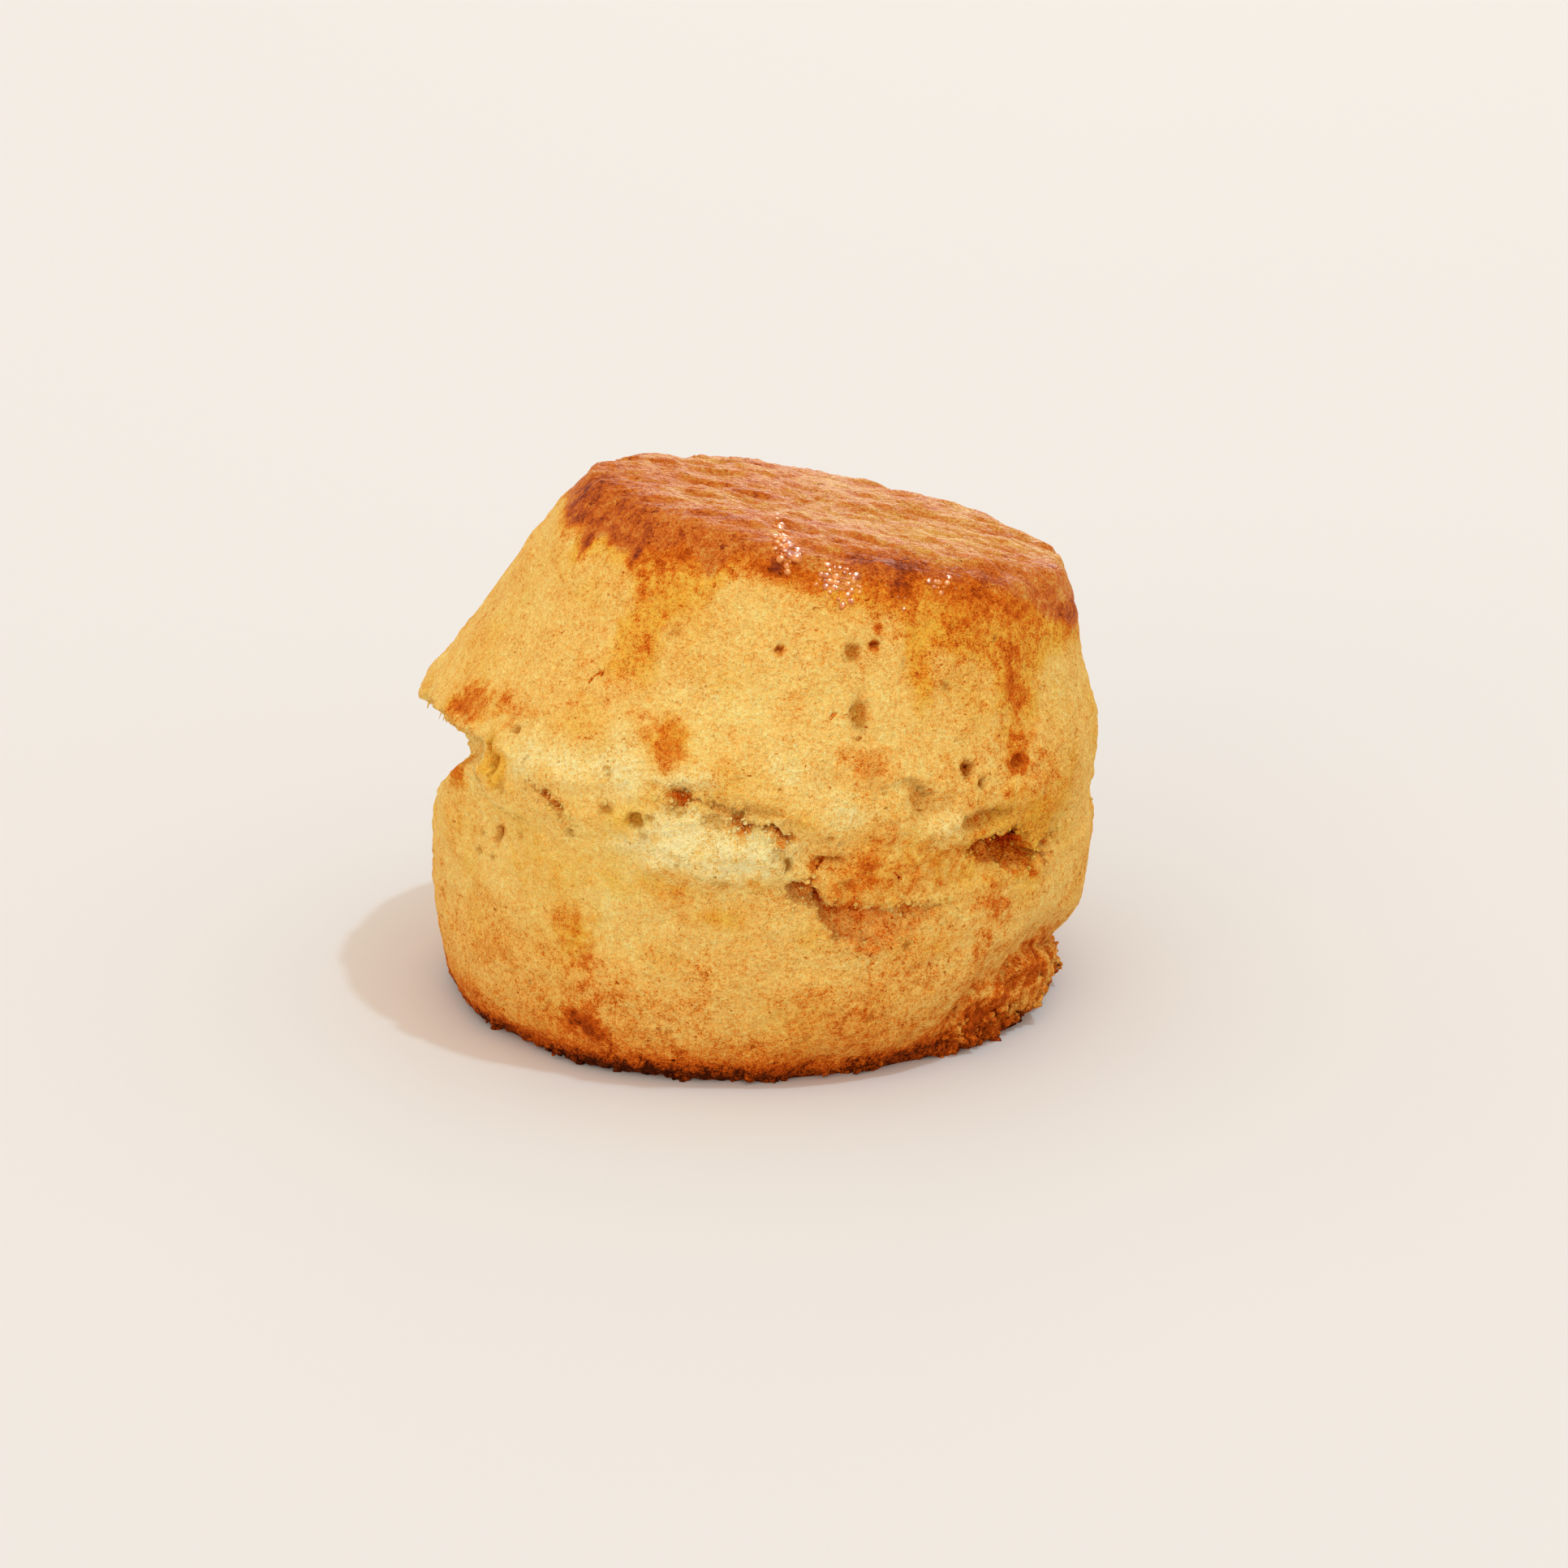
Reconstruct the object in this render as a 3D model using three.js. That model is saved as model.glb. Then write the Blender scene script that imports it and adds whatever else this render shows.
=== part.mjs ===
// A round cutter scone, baked in one piece and standing on its flat sole.
// Millimetres, +Z up. The origin is the middle of the sole. The front is -Y.
//
// The skin is a loft: a stack of round sections runs from the sole up the side and over the
// rim to the crown. The upper half leans to the right and its top tilts, because the dough
// rose more on the left, and a tear runs round the waist where the halves pulled apart.

import * as THREE from 'three';

const COLUMNS = 80; // corners round each section
const CRUST_COLOUR = '#dfa45a';

// Sections from the sole to the crown. A point of a section sits at its centre (x, y) plus
// its radius, and its height is height + slopeX * x + slopeY * y, so a section can tilt.
// rows is how many rows of faces lead from this section to the next.
const LEVEL = { slopeX: 0, slopeY: 0 };
const TOP_TILT = { slopeX: -0.207, slopeY: -0.09 };
const SECTIONS = [
  { name: 'sole edge', x: -0.9, y: 0, radius: 27.6, height: 0, ...LEVEL, rows: 2 },
  { name: 'foot', x: -1, y: 0, radius: 28.8, height: 1.2, ...LEVEL, rows: 2 },
  { name: 'lower side', x: -0.5, y: -0.1, radius: 30.1, height: 4, ...LEVEL, rows: 3 },
  { name: 'belly', x: -0.1, y: -0.3, radius: 31.1, height: 9, ...LEVEL, rows: 4 },
  { name: 'upper belly', x: 0.3, y: -0.4, radius: 31.5, height: 15.5, ...LEVEL, rows: 6 },
  { name: 'waist', x: 0.4, y: -0.5, radius: 31.6, height: 22, slopeX: -0.03, slopeY: 0, rows: 6 },
  { name: 'lip', x: 0.2, y: -0.6, radius: 32, height: 27.2, slopeX: -0.04, slopeY: 0, rows: 8 },
  { name: 'flank', x: 2.6, y: -0.5, radius: 28.4, height: 34.2, slopeX: -0.1, slopeY: -0.03, rows: 4 },
  { name: 'shoulder', x: 5, y: -0.3, radius: 25.1, height: 41.8, slopeX: -0.17, slopeY: -0.06, rows: 3 },
  { name: 'rim', x: 6.3, y: -0.2, radius: 23, height: 45.7, slopeX: -0.205, slopeY: -0.08, rows: 3 },
  { name: 'brow', x: 6.5, y: 0, radius: 21.2, height: 47.2, ...TOP_TILT, rows: 3 },
  { name: 'top', x: 6.5, y: 0, radius: 15, height: 47.9, ...TOP_TILT, rows: 4 },
  { name: 'crown', x: 6.5, y: 0, radius: 0, height: 48.2, ...TOP_TILT, rows: 0 },
];

// The tear: at each azimuth (degrees from +X towards +Y) how high its deepest line lies and
// how far it reaches in. It gapes at the left and closes to a shallow crack at the right.
const TEAR = [
  { azimuth: 5, height: 20, depth: 0.5 },
  { azimuth: 45, height: 22, depth: 0.8 },
  { azimuth: 90, height: 23.5, depth: 1.4 },
  { azimuth: 130, height: 22.8, depth: 2.8 },
  { azimuth: 158, height: 22.4, depth: 4 },
  { azimuth: 183, height: 22.8, depth: 4.6 },
  { azimuth: 205, height: 24.5, depth: 3.6 },
  { azimuth: 225, height: 27.2, depth: 2 },
  { azimuth: 240, height: 26.4, depth: 1.2 },
  { azimuth: 259, height: 28.2, depth: 1.6 },
  { azimuth: 272, height: 25.6, depth: 1.4 },
  { azimuth: 284, height: 19, depth: 1.8 },
  { azimuth: 300, height: 17.6, depth: 2 },
  { azimuth: 318, height: 19.6, depth: 2.2 },
  { azimuth: 338, height: 19, depth: 1 },
];
// Above its deepest line the tear has a hooked roof, and below it a long soft ramp. Both get
// taller where the tear is deeper.
const ROOF = { least: 1.6, perDepth: 0.85, hook: 0.6 };
const RAMP = { least: 2.6, perDepth: 0.9 };
const LIP_FLARE = { perDepth: 0.22, spread: 1.3 }; // the upper lip curls outwards

// The skirt: dough that crept out under the front right edge, by azimuth and reach.
const SKIRT = [
  { azimuth: 2, reach: 1.6 },
  { azimuth: 14, reach: 0 },
  { azimuth: 90, reach: 0 },
  { azimuth: 180, reach: 0 },
  { azimuth: 270, reach: 0 },
  { azimuth: 296, reach: 0 },
  { azimuth: 312, reach: 0.8 },
  { azimuth: 330, reach: 1.1 },
  { azimuth: 338, reach: 0.9 },
  { azimuth: 347, reach: 2.2 },
];
const SKIRT_TOP = 0.9; // full reach up to this height
const SKIRT_NECK = 2.6; // none left above this height

const FULL_TURN = 360;

// A smooth step from 0 at low to 1 at high.
const ease = (low, high, value) => THREE.MathUtils.smoothstep(value, low, high);

// A cubic from a to b that leaves a with slopeA and reaches b with slopeB.
function cubic(a, b, slopeA, slopeB, part) {
  const cube = part ** 3;
  const square = part ** 2;
  return (2 * cube - 3 * square + 1) * a
    + (cube - 2 * square + part) * slopeA
    + (3 * square - 2 * cube) * b
    + (cube - square) * slopeB;
}

// One measure of the skin, such as radius, at a part of the way from one section to the next.
function measureBetween(index, part, key) {
  const last = SECTIONS.length - 1;
  const at = (place) => SECTIONS[THREE.MathUtils.clamp(place, 0, last)][key];
  const slopeHere = (at(index + 1) - at(index - 1)) / 2;
  const slopeNext = (at(index + 2) - at(index)) / 2;
  return cubic(at(index), at(index + 1), slopeHere, slopeNext, part);
}

// A measure given at a few azimuths, carried smoothly round the full turn.
function measureRound(knots, key, azimuth) {
  const count = knots.length;
  const turned = (place) => {
    const knot = knots[((place % count) + count) % count];
    return { azimuth: knot.azimuth + FULL_TURN * Math.floor(place / count), value: knot[key] };
  };
  const found = knots.findIndex((knot) => knot.azimuth > azimuth);
  const next = found < 0 ? count : found;
  const [before, here, there, after] = [next - 2, next - 1, next, next + 1].map(turned);
  const span = there.azimuth - here.azimuth;
  const slopeHere = (there.value - before.value) / (there.azimuth - before.azimuth);
  const slopeThere = (after.value - here.value) / (after.azimuth - here.azimuth);
  const part = (azimuth - here.azimuth) / span;
  return cubic(here.value, there.value, slopeHere * span, slopeThere * span, part);
}

// How far the tear moves the skin outwards (negative: inwards) at a height.
function tearReach(azimuth, height) {
  const depth = Math.max(measureRound(TEAR, 'depth', azimuth), 0);
  const above = height - measureRound(TEAR, 'height', azimuth);
  const roof = ROOF.least + ROOF.perDepth * depth;
  const ramp = RAMP.least + RAMP.perDepth * depth;
  const hollow = above > 0
    ? THREE.MathUtils.clamp(1 - above / roof, 0, 1) ** ROOF.hook
    : ease(-ramp, 0, above);
  const flare = Math.exp(-0.5 * ((above - roof) / LIP_FLARE.spread) ** 2);
  return depth * (LIP_FLARE.perDepth * flare - hollow);
}

// How far the skirt stands out at a height.
function skirtReach(azimuth, height) {
  const reach = Math.max(measureRound(SKIRT, 'reach', azimuth), 0);
  return reach * (1 - ease(SKIRT_TOP, SKIRT_NECK, height));
}

// A point of the skin: which section it follows, how far on to the next, and its azimuth.
function skinPoint(index, part, azimuth) {
  const [x, y, radius, height, slopeX, slopeY] = ['x', 'y', 'radius', 'height', 'slopeX', 'slopeY']
    .map((key) => measureBetween(index, part, key));
  const angle = THREE.MathUtils.degToRad(azimuth);
  const outwards = new THREE.Vector2(Math.cos(angle), Math.sin(angle));
  const smooth = new THREE.Vector2(x, y).addScaledVector(outwards, radius);
  const level = height + slopeX * smooth.x + slopeY * smooth.y;
  const reach = tearReach(azimuth, level) + skirtReach(azimuth, level);
  const torn = smooth.addScaledVector(outwards, reach);
  return new THREE.Vector3(torn.x, torn.y, level);
}

// The closed skin: rows of points from the sole's edge to just short of the crown, with the
// middle of the sole and the crown as its two poles.
function skinGeometry() {
  const crown = SECTIONS[SECTIONS.length - 1];
  const points = [new THREE.Vector3(0, 0, 0)];
  SECTIONS.forEach((section, index) => {
    for (let row = 0; row < section.rows; row += 1) {
      for (let column = 0; column < COLUMNS; column += 1) {
        points.push(skinPoint(index, row / section.rows, (column * FULL_TURN) / COLUMNS));
      }
    }
  });
  const crownHeight = crown.height + crown.slopeX * crown.x + crown.slopeY * crown.y;
  points.push(new THREE.Vector3(crown.x, crown.y, crownHeight));

  const lastRow = (points.length - 2) / COLUMNS - 1;
  const pole = points.length - 1;
  const corner = (row, column) => 1 + row * COLUMNS + (column % COLUMNS);
  const faces = [];
  for (let column = 0; column < COLUMNS; column += 1) {
    faces.push(0, corner(0, column + 1), corner(0, column));
    for (let row = 0; row < lastRow; row += 1) {
      const [near, far] = [corner(row, column), corner(row, column + 1)];
      const [nearAbove, farAbove] = [corner(row + 1, column), corner(row + 1, column + 1)];
      faces.push(near, far, farAbove);
      faces.push(near, farAbove, nearAbove);
    }
    faces.push(corner(lastRow, column), corner(lastRow, column + 1), pole);
  }

  const geometry = new THREE.BufferGeometry().setFromPoints(points);
  geometry.setIndex(faces);
  geometry.computeVertexNormals();
  return geometry;
}

const crust = new THREE.MeshStandardMaterial({ color: CRUST_COLOUR, roughness: 0.75, metalness: 0 });

const scone = new THREE.Mesh(skinGeometry(), crust);
scone.name = 'scone';

const part = new THREE.Group();
part.add(scone);

export default part;
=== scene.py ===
"""A round baked scone standing on a pale floor.

The skin is one closed surface: a loft of round sections from the sole over the rim to the crown,
torn open round the waist, dented, cracked and blistered by formulas, and coloured by how much
each spot is baked, washed with egg or torn, with painted shade in its pits, creases, cracks and
rips and painted light on its lumps, raised grain, wrinkles and left front. Lengths are in
millimetres until a mesh is made, and azimuths in degrees from the right (+X) towards the back
(+Y), so that 270 is the front.
"""

import bpy
import numpy as np
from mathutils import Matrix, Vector


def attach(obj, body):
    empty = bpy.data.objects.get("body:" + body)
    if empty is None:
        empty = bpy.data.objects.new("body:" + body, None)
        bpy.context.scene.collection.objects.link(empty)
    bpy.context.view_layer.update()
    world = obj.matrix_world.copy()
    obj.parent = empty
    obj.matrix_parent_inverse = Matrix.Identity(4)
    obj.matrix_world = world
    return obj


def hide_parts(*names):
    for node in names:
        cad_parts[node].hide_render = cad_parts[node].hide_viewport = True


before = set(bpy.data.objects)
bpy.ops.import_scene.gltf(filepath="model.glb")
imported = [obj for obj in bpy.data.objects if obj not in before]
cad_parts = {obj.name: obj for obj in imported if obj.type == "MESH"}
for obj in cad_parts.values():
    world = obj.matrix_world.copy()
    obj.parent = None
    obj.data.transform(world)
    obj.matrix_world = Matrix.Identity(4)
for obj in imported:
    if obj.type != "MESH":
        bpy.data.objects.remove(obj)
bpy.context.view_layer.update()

MM = 0.001  # metres in a millimetre

# ---------------------------------------------------------------- the dough's form
# Sections of the loft: centre x, centre y, radius, height, rise per mm of x, rise per mm of y.
SECTIONS = {
    "sole edge": (-0.9, 0.0, 27.6, 0.0, 0.0, 0.0),
    "foot": (-1.0, 0.0, 28.8, 1.2, 0.0, 0.0),
    "lower side": (-0.5, -0.1, 30.1, 4.0, 0.0, 0.0),
    "belly": (-0.1, -0.3, 31.1, 9.0, 0.0, 0.0),
    "upper belly": (0.3, -0.4, 31.5, 15.5, 0.0, 0.0),
    "waist": (0.4, -0.5, 31.6, 22.0, -0.03, 0.0),
    "lip": (0.2, -0.6, 32.0, 27.2, -0.04, 0.0),
    "flank": (2.6, -0.5, 28.4, 34.2, -0.1, -0.03),
    "shoulder": (5.0, -0.3, 25.1, 41.8, -0.17, -0.06),
    "rim": (6.3, -0.2, 23.0, 45.7, -0.205, -0.08),
    "brow": (6.5, 0.0, 21.2, 47.2, -0.207, -0.09),
    "top": (6.5, 0.0, 15.0, 47.9, -0.207, -0.09),
    "crown": (6.5, 0.0, 0.0, 48.2, -0.207, -0.09),
}
ORDER = list(SECTIONS)
WAIST_RADIUS = 31.5
COLUMNS = 500  # closest together at the most finely torn azimuth
FINELY_TORN = 262
ROWS = 190  # from the sole's edge to the crown
SOLE_ROWS = 8  # from the sole's edge to its middle
CROWN_GAP = 0.04  # the last row stops this part of a section short of the crown
RIM = ORDER.index("rim")
LARGE, MEDIUM, SMALL = 7.0, 2.4, 1.1  # sizes of the dough's unevenness
NO_CRACK = 5.0  # a distance from a crack that is too far to show
NO_RIP = -9.0  # how far inside a rip a point counts as when it is nowhere near one

# The tear round the waist: azimuth, height of the ledge below it, height of the lip above, depth.
TEAR = (
    (183, 17.6, 28.8, 4.9), (194, 20.6, 30.0, 4.3), (201, 22.6, 30.1, 3.7), (207, 24.8, 30.0, 2.9),
    (213, 26.8, 29.9, 1.7), (220, 27.2, 29.6, 0.6), (236, 25.4, 28.4, 0.4), (259, 26.4, 30.0, 0.5),
    (275, 22.6, 27.0, 0.5), (290, 18.0, 22.0, 0.1), (318, 18.0, 23.0, 0.5), (340, 17.0, 21.5, 0.4),
    (10, 18.0, 22.5, 0.5), (48, 19.5, 24.0, 0.9), (90, 19.0, 26.0, 1.7), (130, 18.0, 27.6, 3.1),
    (158, 17.4, 28.2, 4.3),
)

WIDEST_TEAR = 197

# The skirt under the front right edge: azimuth, reach at the floor, height of the crease where
# the side meets it, how far the side is tucked in there.
SKIRT = (
    (20, 0.0, 2.6, 0.0), (60, 0.0, 3.0, 0.0), (90, 0.0, 3.0, 0.0), (180, 0.0, 3.0, 0.0),
    (270, 0.0, 3.0, 0.0), (298, 0.0, 3.0, 0.0), (305, 0.2, 3.0, 0.5), (308, 0.3, 4.6, 1.1),
    (312, 0.5, 6.4, 1.6), (318, 0.6, 7.0, 1.8), (323, 0.6, 7.8, 1.9), (328, 0.7, 8.0, 2.0),
    (333, 0.7, 7.4, 2.1), (340, 0.6, 6.2, 2.2), (347, 0.8, 4.9, 2.2), (355, 0.6, 3.8, 1.6),
    (7, 0.3, 3.2, 0.7),
)

# Ragged openings. Each knot: azimuth, top edge, bottom edge, depth.
RIPS = {
    "front crack": (
        (254.8, 28.9, 28.7, 0.0), (256, 29.3, 27.9, 0.8), (258.4, 29.4, 27.4, 1.5),
        (260.2, 28.7, 27.6, 1.2), (261.2, 28.2, 27.8, 0.2), (262.2, 28.3, 27.4, 0.9),
        (264.5, 28.0, 27.0, 1.0), (265.4, 27.5, 27.2, 0.2), (266.4, 27.4, 25.5, 1.1),
        (268.6, 27.1, 25.0, 1.3), (269.8, 26.5, 26.0, 0.4), (271.4, 26.4, 25.1, 0.9),
        (273.6, 26.0, 24.2, 1.3), (275.2, 25.4, 24.2, 1.3), (276.4, 25.0, 24.8, 0.0),
    ),
    "left crack": (
        (229.2, 27.8, 27.6, 0.0), (231.2, 27.6, 26.7, 0.6), (232.8, 27.3, 26.8, 0.5),
        (233.6, 27.4, 26.4, 1.5), (234.8, 27.0, 26.2, 1.3), (235.3, 26.7, 26.4, 0.5),
        (236.0, 26.6, 25.7, 1.4), (237.0, 26.0, 25.4, 1.0), (237.6, 25.6, 25.4, 0.0),
    ),
    "front pocket": (
        (274.2, 19.6, 19.2, 0.3), (275.2, 20.5, 18.3, 1.6), (276.8, 21.1, 18.3, 2.3),
        (278.6, 21.0, 18.2, 2.4), (279.8, 19.8, 17.2, 2.4), (281.6, 18.5, 15.3, 2.0),
        (284.4, 18.3, 14.0, 2.3), (287.4, 17.9, 13.4, 2.1), (290.2, 17.7, 13.1, 1.8),
        (293.2, 17.6, 13.9, 1.4), (296.2, 17.3, 14.7, 1.1), (299, 17.2, 16.1, 0.7),
        (302, 16.9, 16.6, 0.0),
    ),
    "right pocket": (
        (306.8, 21.8, 21.5, 0.2), (308.4, 22.2, 20.4, 1.6), (310.6, 22.5, 19.8, 2.6),
        (314.0, 22.3, 19.2, 3.2), (316.4, 22.2, 18.0, 3.6), (319.0, 21.8, 17.8, 3.4),
        (321.4, 21.1, 17.2, 2.6), (322.8, 19.6, 17.3, 2.0), (325.6, 18.6, 17.1, 1.2),
        (327.8, 17.9, 17.5, 0.0),
    ),
    "right slit": (
        (323.8, 19.3, 18.9, 0.0), (324.8, 19.9, 18.7, 1.0), (327.2, 20.1, 18.5, 1.4),
        (329.6, 20.4, 18.9, 1.4), (332.0, 19.4, 19.1, 0.0),
    ),
    "back crack": (
        (62, 26.0, 25.8, 0.0), (66, 26.4, 25.4, 1.2), (72, 25.7, 25.0, 0.8), (76, 25.4, 24.0, 1.6),
        (83, 24.8, 23.9, 1.0), (88, 24.2, 24.0, 0.0),
    ),
    "back pocket": (
        (104, 19.0, 18.7, 0.0), (107, 19.8, 17.0, 1.8), (112, 19.2, 15.2, 2.2),
        (118, 18.8, 15.0, 1.8), (124, 18.2, 16.4, 1.0), (129, 17.6, 17.2, 0.0),
    ),
}

# Layers that overhang: the same knots, but under the top edge the dough only slopes back out.
FOLDS = {
    "notch ridge": (
        (203, 29.2, 22.0, 0.0), (210, 29.8, 21.0, 0.9), (214.9, 28.4, 19.5, 1.5),
        (218.6, 26.9, 18.5, 1.6), (220.4, 25.1, 17.5, 1.5), (222.5, 24.4, 17.5, 1.1),
        (226, 24.1, 18.0, 0.7), (231, 24.0, 19.0, 0.0),
    ),
    "olive hollow": (
        (304.3, 25.9, 25.4, 0.5), (304.9, 25.6, 23.4, 0.9), (305.6, 25.4, 22.4, 1.1),
        (307, 25.2, 22.4, 1.0), (310, 24.8, 22.9, 0.8), (313, 24.6, 23.0, 0.6),
        (316.5, 24.0, 23.4, 0.2),
    ),
    "upper hollow": (
        (291, 28.6, 28.2, 0.1), (293, 29.4, 27.4, 0.5), (295.2, 29.2, 25.6, 0.7),
        (296.5, 28.9, 24.3, 0.9), (297.4, 28.4, 25.3, 0.9), (298.8, 28.0, 26.6, 0.7),
        (299.6, 27.8, 27.4, 0.2),
    ),
}

# Dents, holes and shallow hollows: azimuth, height, half width, half height, depth.
DENTS = (
    # the rim and the brow
    (253, 41.6, 0.9, 0.7, 0.4), (274.3, 40.8, 0.5, 0.4, 0.5), (288, 40.3, 1.0, 1.0, 0.6),
    (292.5, 40.8, 0.6, 0.3, 0.6),
    # the flank
    (224.1, 31.5, 0.5, 0.4, 0.5), (281.5, 30.0, 1.8, 1.4, 0.25), (288.5, 35.3, 1.3, 1.9, 0.6),
    (318, 39.5, 0.4, 0.4, 0.4),
    # round the waist
    (215.3, 18.8, 0.5, 0.5, 0.5), (219.2, 29.6, 0.6, 1.3, 0.5), (220, 21.0, 0.5, 0.8, 0.7),
    (221.6, 28.2, 0.6, 1.5, 0.5), (223.8, 26.4, 0.6, 1.2, 0.4), (226.2, 21.8, 0.5, 0.6, 0.4),
    (238.3, 23.7, 0.4, 0.4, 0.5), (245, 26.6, 0.9, 0.7, 0.5), (250.3, 25.9, 0.9, 1.0, 0.9),
    (251.5, 24.4, 0.6, 0.6, 0.5), (253, 26.4, 0.5, 0.4, 0.5), (256.6, 27.2, 1.6, 0.9, 0.4),
    (262.6, 26.4, 1.4, 0.8, 0.4), (264.8, 20.8, 0.6, 0.4, 0.4), (270.6, 27.4, 2.4, 0.7, 0.35),
    (273.2, 23.4, 1.2, 1.0, 0.4), (274.8, 22.5, 0.5, 0.8, 0.9), (281.4, 22.7, 1.6, 0.35, 0.5),
    (289.6, 29.4, 1.0, 1.6, 0.3), (297.2, 27.2, 1.8, 1.8, 0.4), (301.0, 26.8, 1.4, 1.2, 0.3),
    (306.4, 29.2, 0.8, 0.9, 1.0), (308.9, 27.8, 0.6, 0.6, 0.9), (309.5, 24.2, 4.0, 1.2, 0.4),
    (317.8, 28.6, 0.9, 0.6, 0.5),
    # the belly and the foot
    (331, 5.2, 0.8, 0.4, 0.7), (336.5, 1.4, 0.7, 2.0, 0.8), (338.4, 4.4, 0.7, 0.5, 0.8),
    (342, 2.0, 0.7, 0.4, 0.7), (345, 3.0, 0.5, 0.6, 0.8),
    # the back
    (24, 29.0, 1.0, 1.4, 0.6), (52, 33.0, 1.4, 1.0, 0.6), (84, 37.0, 0.8, 0.8, 0.6),
    (100, 27.8, 2.4, 1.4, 0.6), (136, 36.5, 1.2, 0.8, 0.5), (150, 12.0, 0.8, 0.6, 0.5),
)

# Bulges, the same way with a rise.
BULGES = (
    (291.5, 20.6, 7.0, 3.0, 0.5), (301.4, 24.2, 2.2, 2.0, 0.7), (264, 22.6, 7.0, 2.6, 1.0),
    (203, 19.6, 5.0, 3.4, 0.4), (262, 32.5, 9.0, 3.4, 0.4), (318, 25.6, 3.6, 1.6, 0.4),
    (118, 21.4, 7.0, 2.6, 0.8), (70, 28.6, 8.0, 2.6, 0.5), (40, 12.0, 9.0, 5.0, 0.4),
)

# Hairline cracks: azimuth and height at each end, and how far the middle bows up.
HAIRLINES = (
    (236.0, 36.4, 240.0, 37.4, 0.3), (262.4, 38.9, 267.8, 37.3, 0.2), (278.6, 22.2, 284.6, 22.8, 0.1),
    (291.2, 21.0, 294.2, 19.9, 0.1), (298.6, 11.1, 299.8, 11.4, 0.0), (281.0, 34.6, 287.0, 34.9, 0.2),
    (62, 34.0, 72, 35.0, 0.5), (112, 33.4, 122, 32.4, 0.4), (144, 15.0, 150, 15.8, 0.3),
    (16, 24.4, 24, 25.0, 0.3),
)
PLUMB_CRACK = (288.5, 13.6, 11.4)  # the one that runs straight down: azimuth, top, bottom

# Where the egg wash ends below the rim: azimuth, distance under the rim's plane.
WASH_EDGE = (
    (187, 1.0), (201, 2.2), (206, 3.0), (213, 2.2), (216, 2.6), (219.5, 4.4), (222, 2.6), (226, 1.8),
    (232, 2.6), (236, 2.0), (238.5, 3.5), (241, 1.6), (247, 1.4), (252, 0.4), (256, 1.0), (259, 1.8),
    (262, 0.4), (268, -0.8), (272, -0.6), (274.5, 0.8), (277, -0.4), (283, -0.2), (288, 0.5),
    (293, -0.5), (299, -0.2), (303, -1.4), (309, -1.7), (316, -1.2), (323, -0.4), (331, 0.6),
    (340, 2.4), (348, 3.2), (10, 2.4), (24, 1.6), (40, 3.4), (50, 2.4), (60, 3.8), (74, 1.8),
    (88, 2.8), (100, 3.6), (114, 2.2), (128, 3.4), (138, 1.8), (150, 3.0), (164, 1.6), (176, 2.2),
)

# Thin yolky stain below the wash: azimuth, distance under the rim's plane.
STAIN_EDGE = (
    (187, 1.2), (206, 3.4), (213, 2.8), (219, 5.0), (226, 2.6), (234, 3.6), (240, 4.6), (247, 6.4),
    (252, 6.0), (257, 5.0), (262, 2.4), (268, 0.2), (275, 1.2), (283, 1.4), (290, 2.2), (297, 2.8),
    (301, 4.2), (306, 4.6), (312, 5.2), (318, 7.0), (323, 8.6), (328, 7.0), (334, 5.2), (345, 4.6),
    (10, 3.2), (40, 5.6), (70, 3.2), (100, 5.6), (135, 3.4), (160, 4.2),
)

# Loose patches of stain: azimuth, height, half width, half height, strength.
STAINS = (
    # the rim and the brow
    (245.4, 41.0, 2.2, 3.4, 1.4), (246.4, 45.4, 3.6, 3.0, 1.0), (252, 44.0, 3.6, 2.6, 0.7),
    (304.7, 42.4, 1.6, 2.4, 0.9),
    # the flank
    (204, 31.2, 2.4, 1.3, 0.6), (211, 32.0, 6.0, 2.0, 0.6), (236, 32.6, 4.0, 1.3, 0.45),
    (241, 38.4, 1.8, 1.4, 0.9), (254.2, 32.9, 2.2, 1.7, 0.9), (300.5, 39.0, 1.0, 3.6, 1.1),
    (314.6, 39.4, 1.4, 2.6, 0.8), (319, 30.6, 2.4, 2.4, 0.8), (320, 36.4, 2.0, 3.4, 1.2),
    (324, 33.4, 1.6, 2.6, 1.0), (330, 30.0, 2.0, 4.0, 0.35),
    # round the waist
    (190, 18.6, 2.4, 2.0, 0.5), (209, 20.8, 4.0, 4.0, 0.55), (209, 25.0, 2.0, 1.8, 0.9),
    (219.4, 28.8, 0.7, 1.8, 1.3), (222.4, 27.6, 0.7, 1.4, 1.2), (227, 19.6, 5.0, 2.4, 0.5),
    (238, 20.5, 8.0, 3.0, 0.4), (240, 19.6, 3.0, 2.0, 0.4), (245.3, 20.2, 5.0, 2.6, 0.6),
    (246, 21.8, 1.8, 1.4, 0.6), (249.4, 26.0, 2.2, 1.6, 0.6), (255.2, 20.1, 5.0, 1.8, 0.7),
    (262, 17.4, 4.0, 1.4, 0.6), (271, 20.6, 1.8, 1.2, 0.6), (277, 26.4, 2.0, 1.6, 0.5),
    (291, 21.4, 6.0, 3.0, 0.8), (317.8, 28.6, 1.2, 0.9, 1.3), (318, 22.6, 10.0, 5.0, 0.8),
    # the belly and the foot
    (239.4, 13.0, 2.6, 3.6, 0.7), (280, 15.6, 3.0, 1.4, 0.5), (300, 13.0, 4.0, 1.4, 0.45),
    # the back
    (30, 19.0, 3.0, 2.0, 0.4), (62, 40.0, 1.6, 4.0, 0.9), (90, 20.0, 4.0, 2.0, 0.4),
    (108, 39.5, 2.0, 3.6, 0.8), (125, 24.0, 2.0, 3.0, 0.5), (150, 44.0, 1.6, 3.0, 0.8),
)

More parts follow.
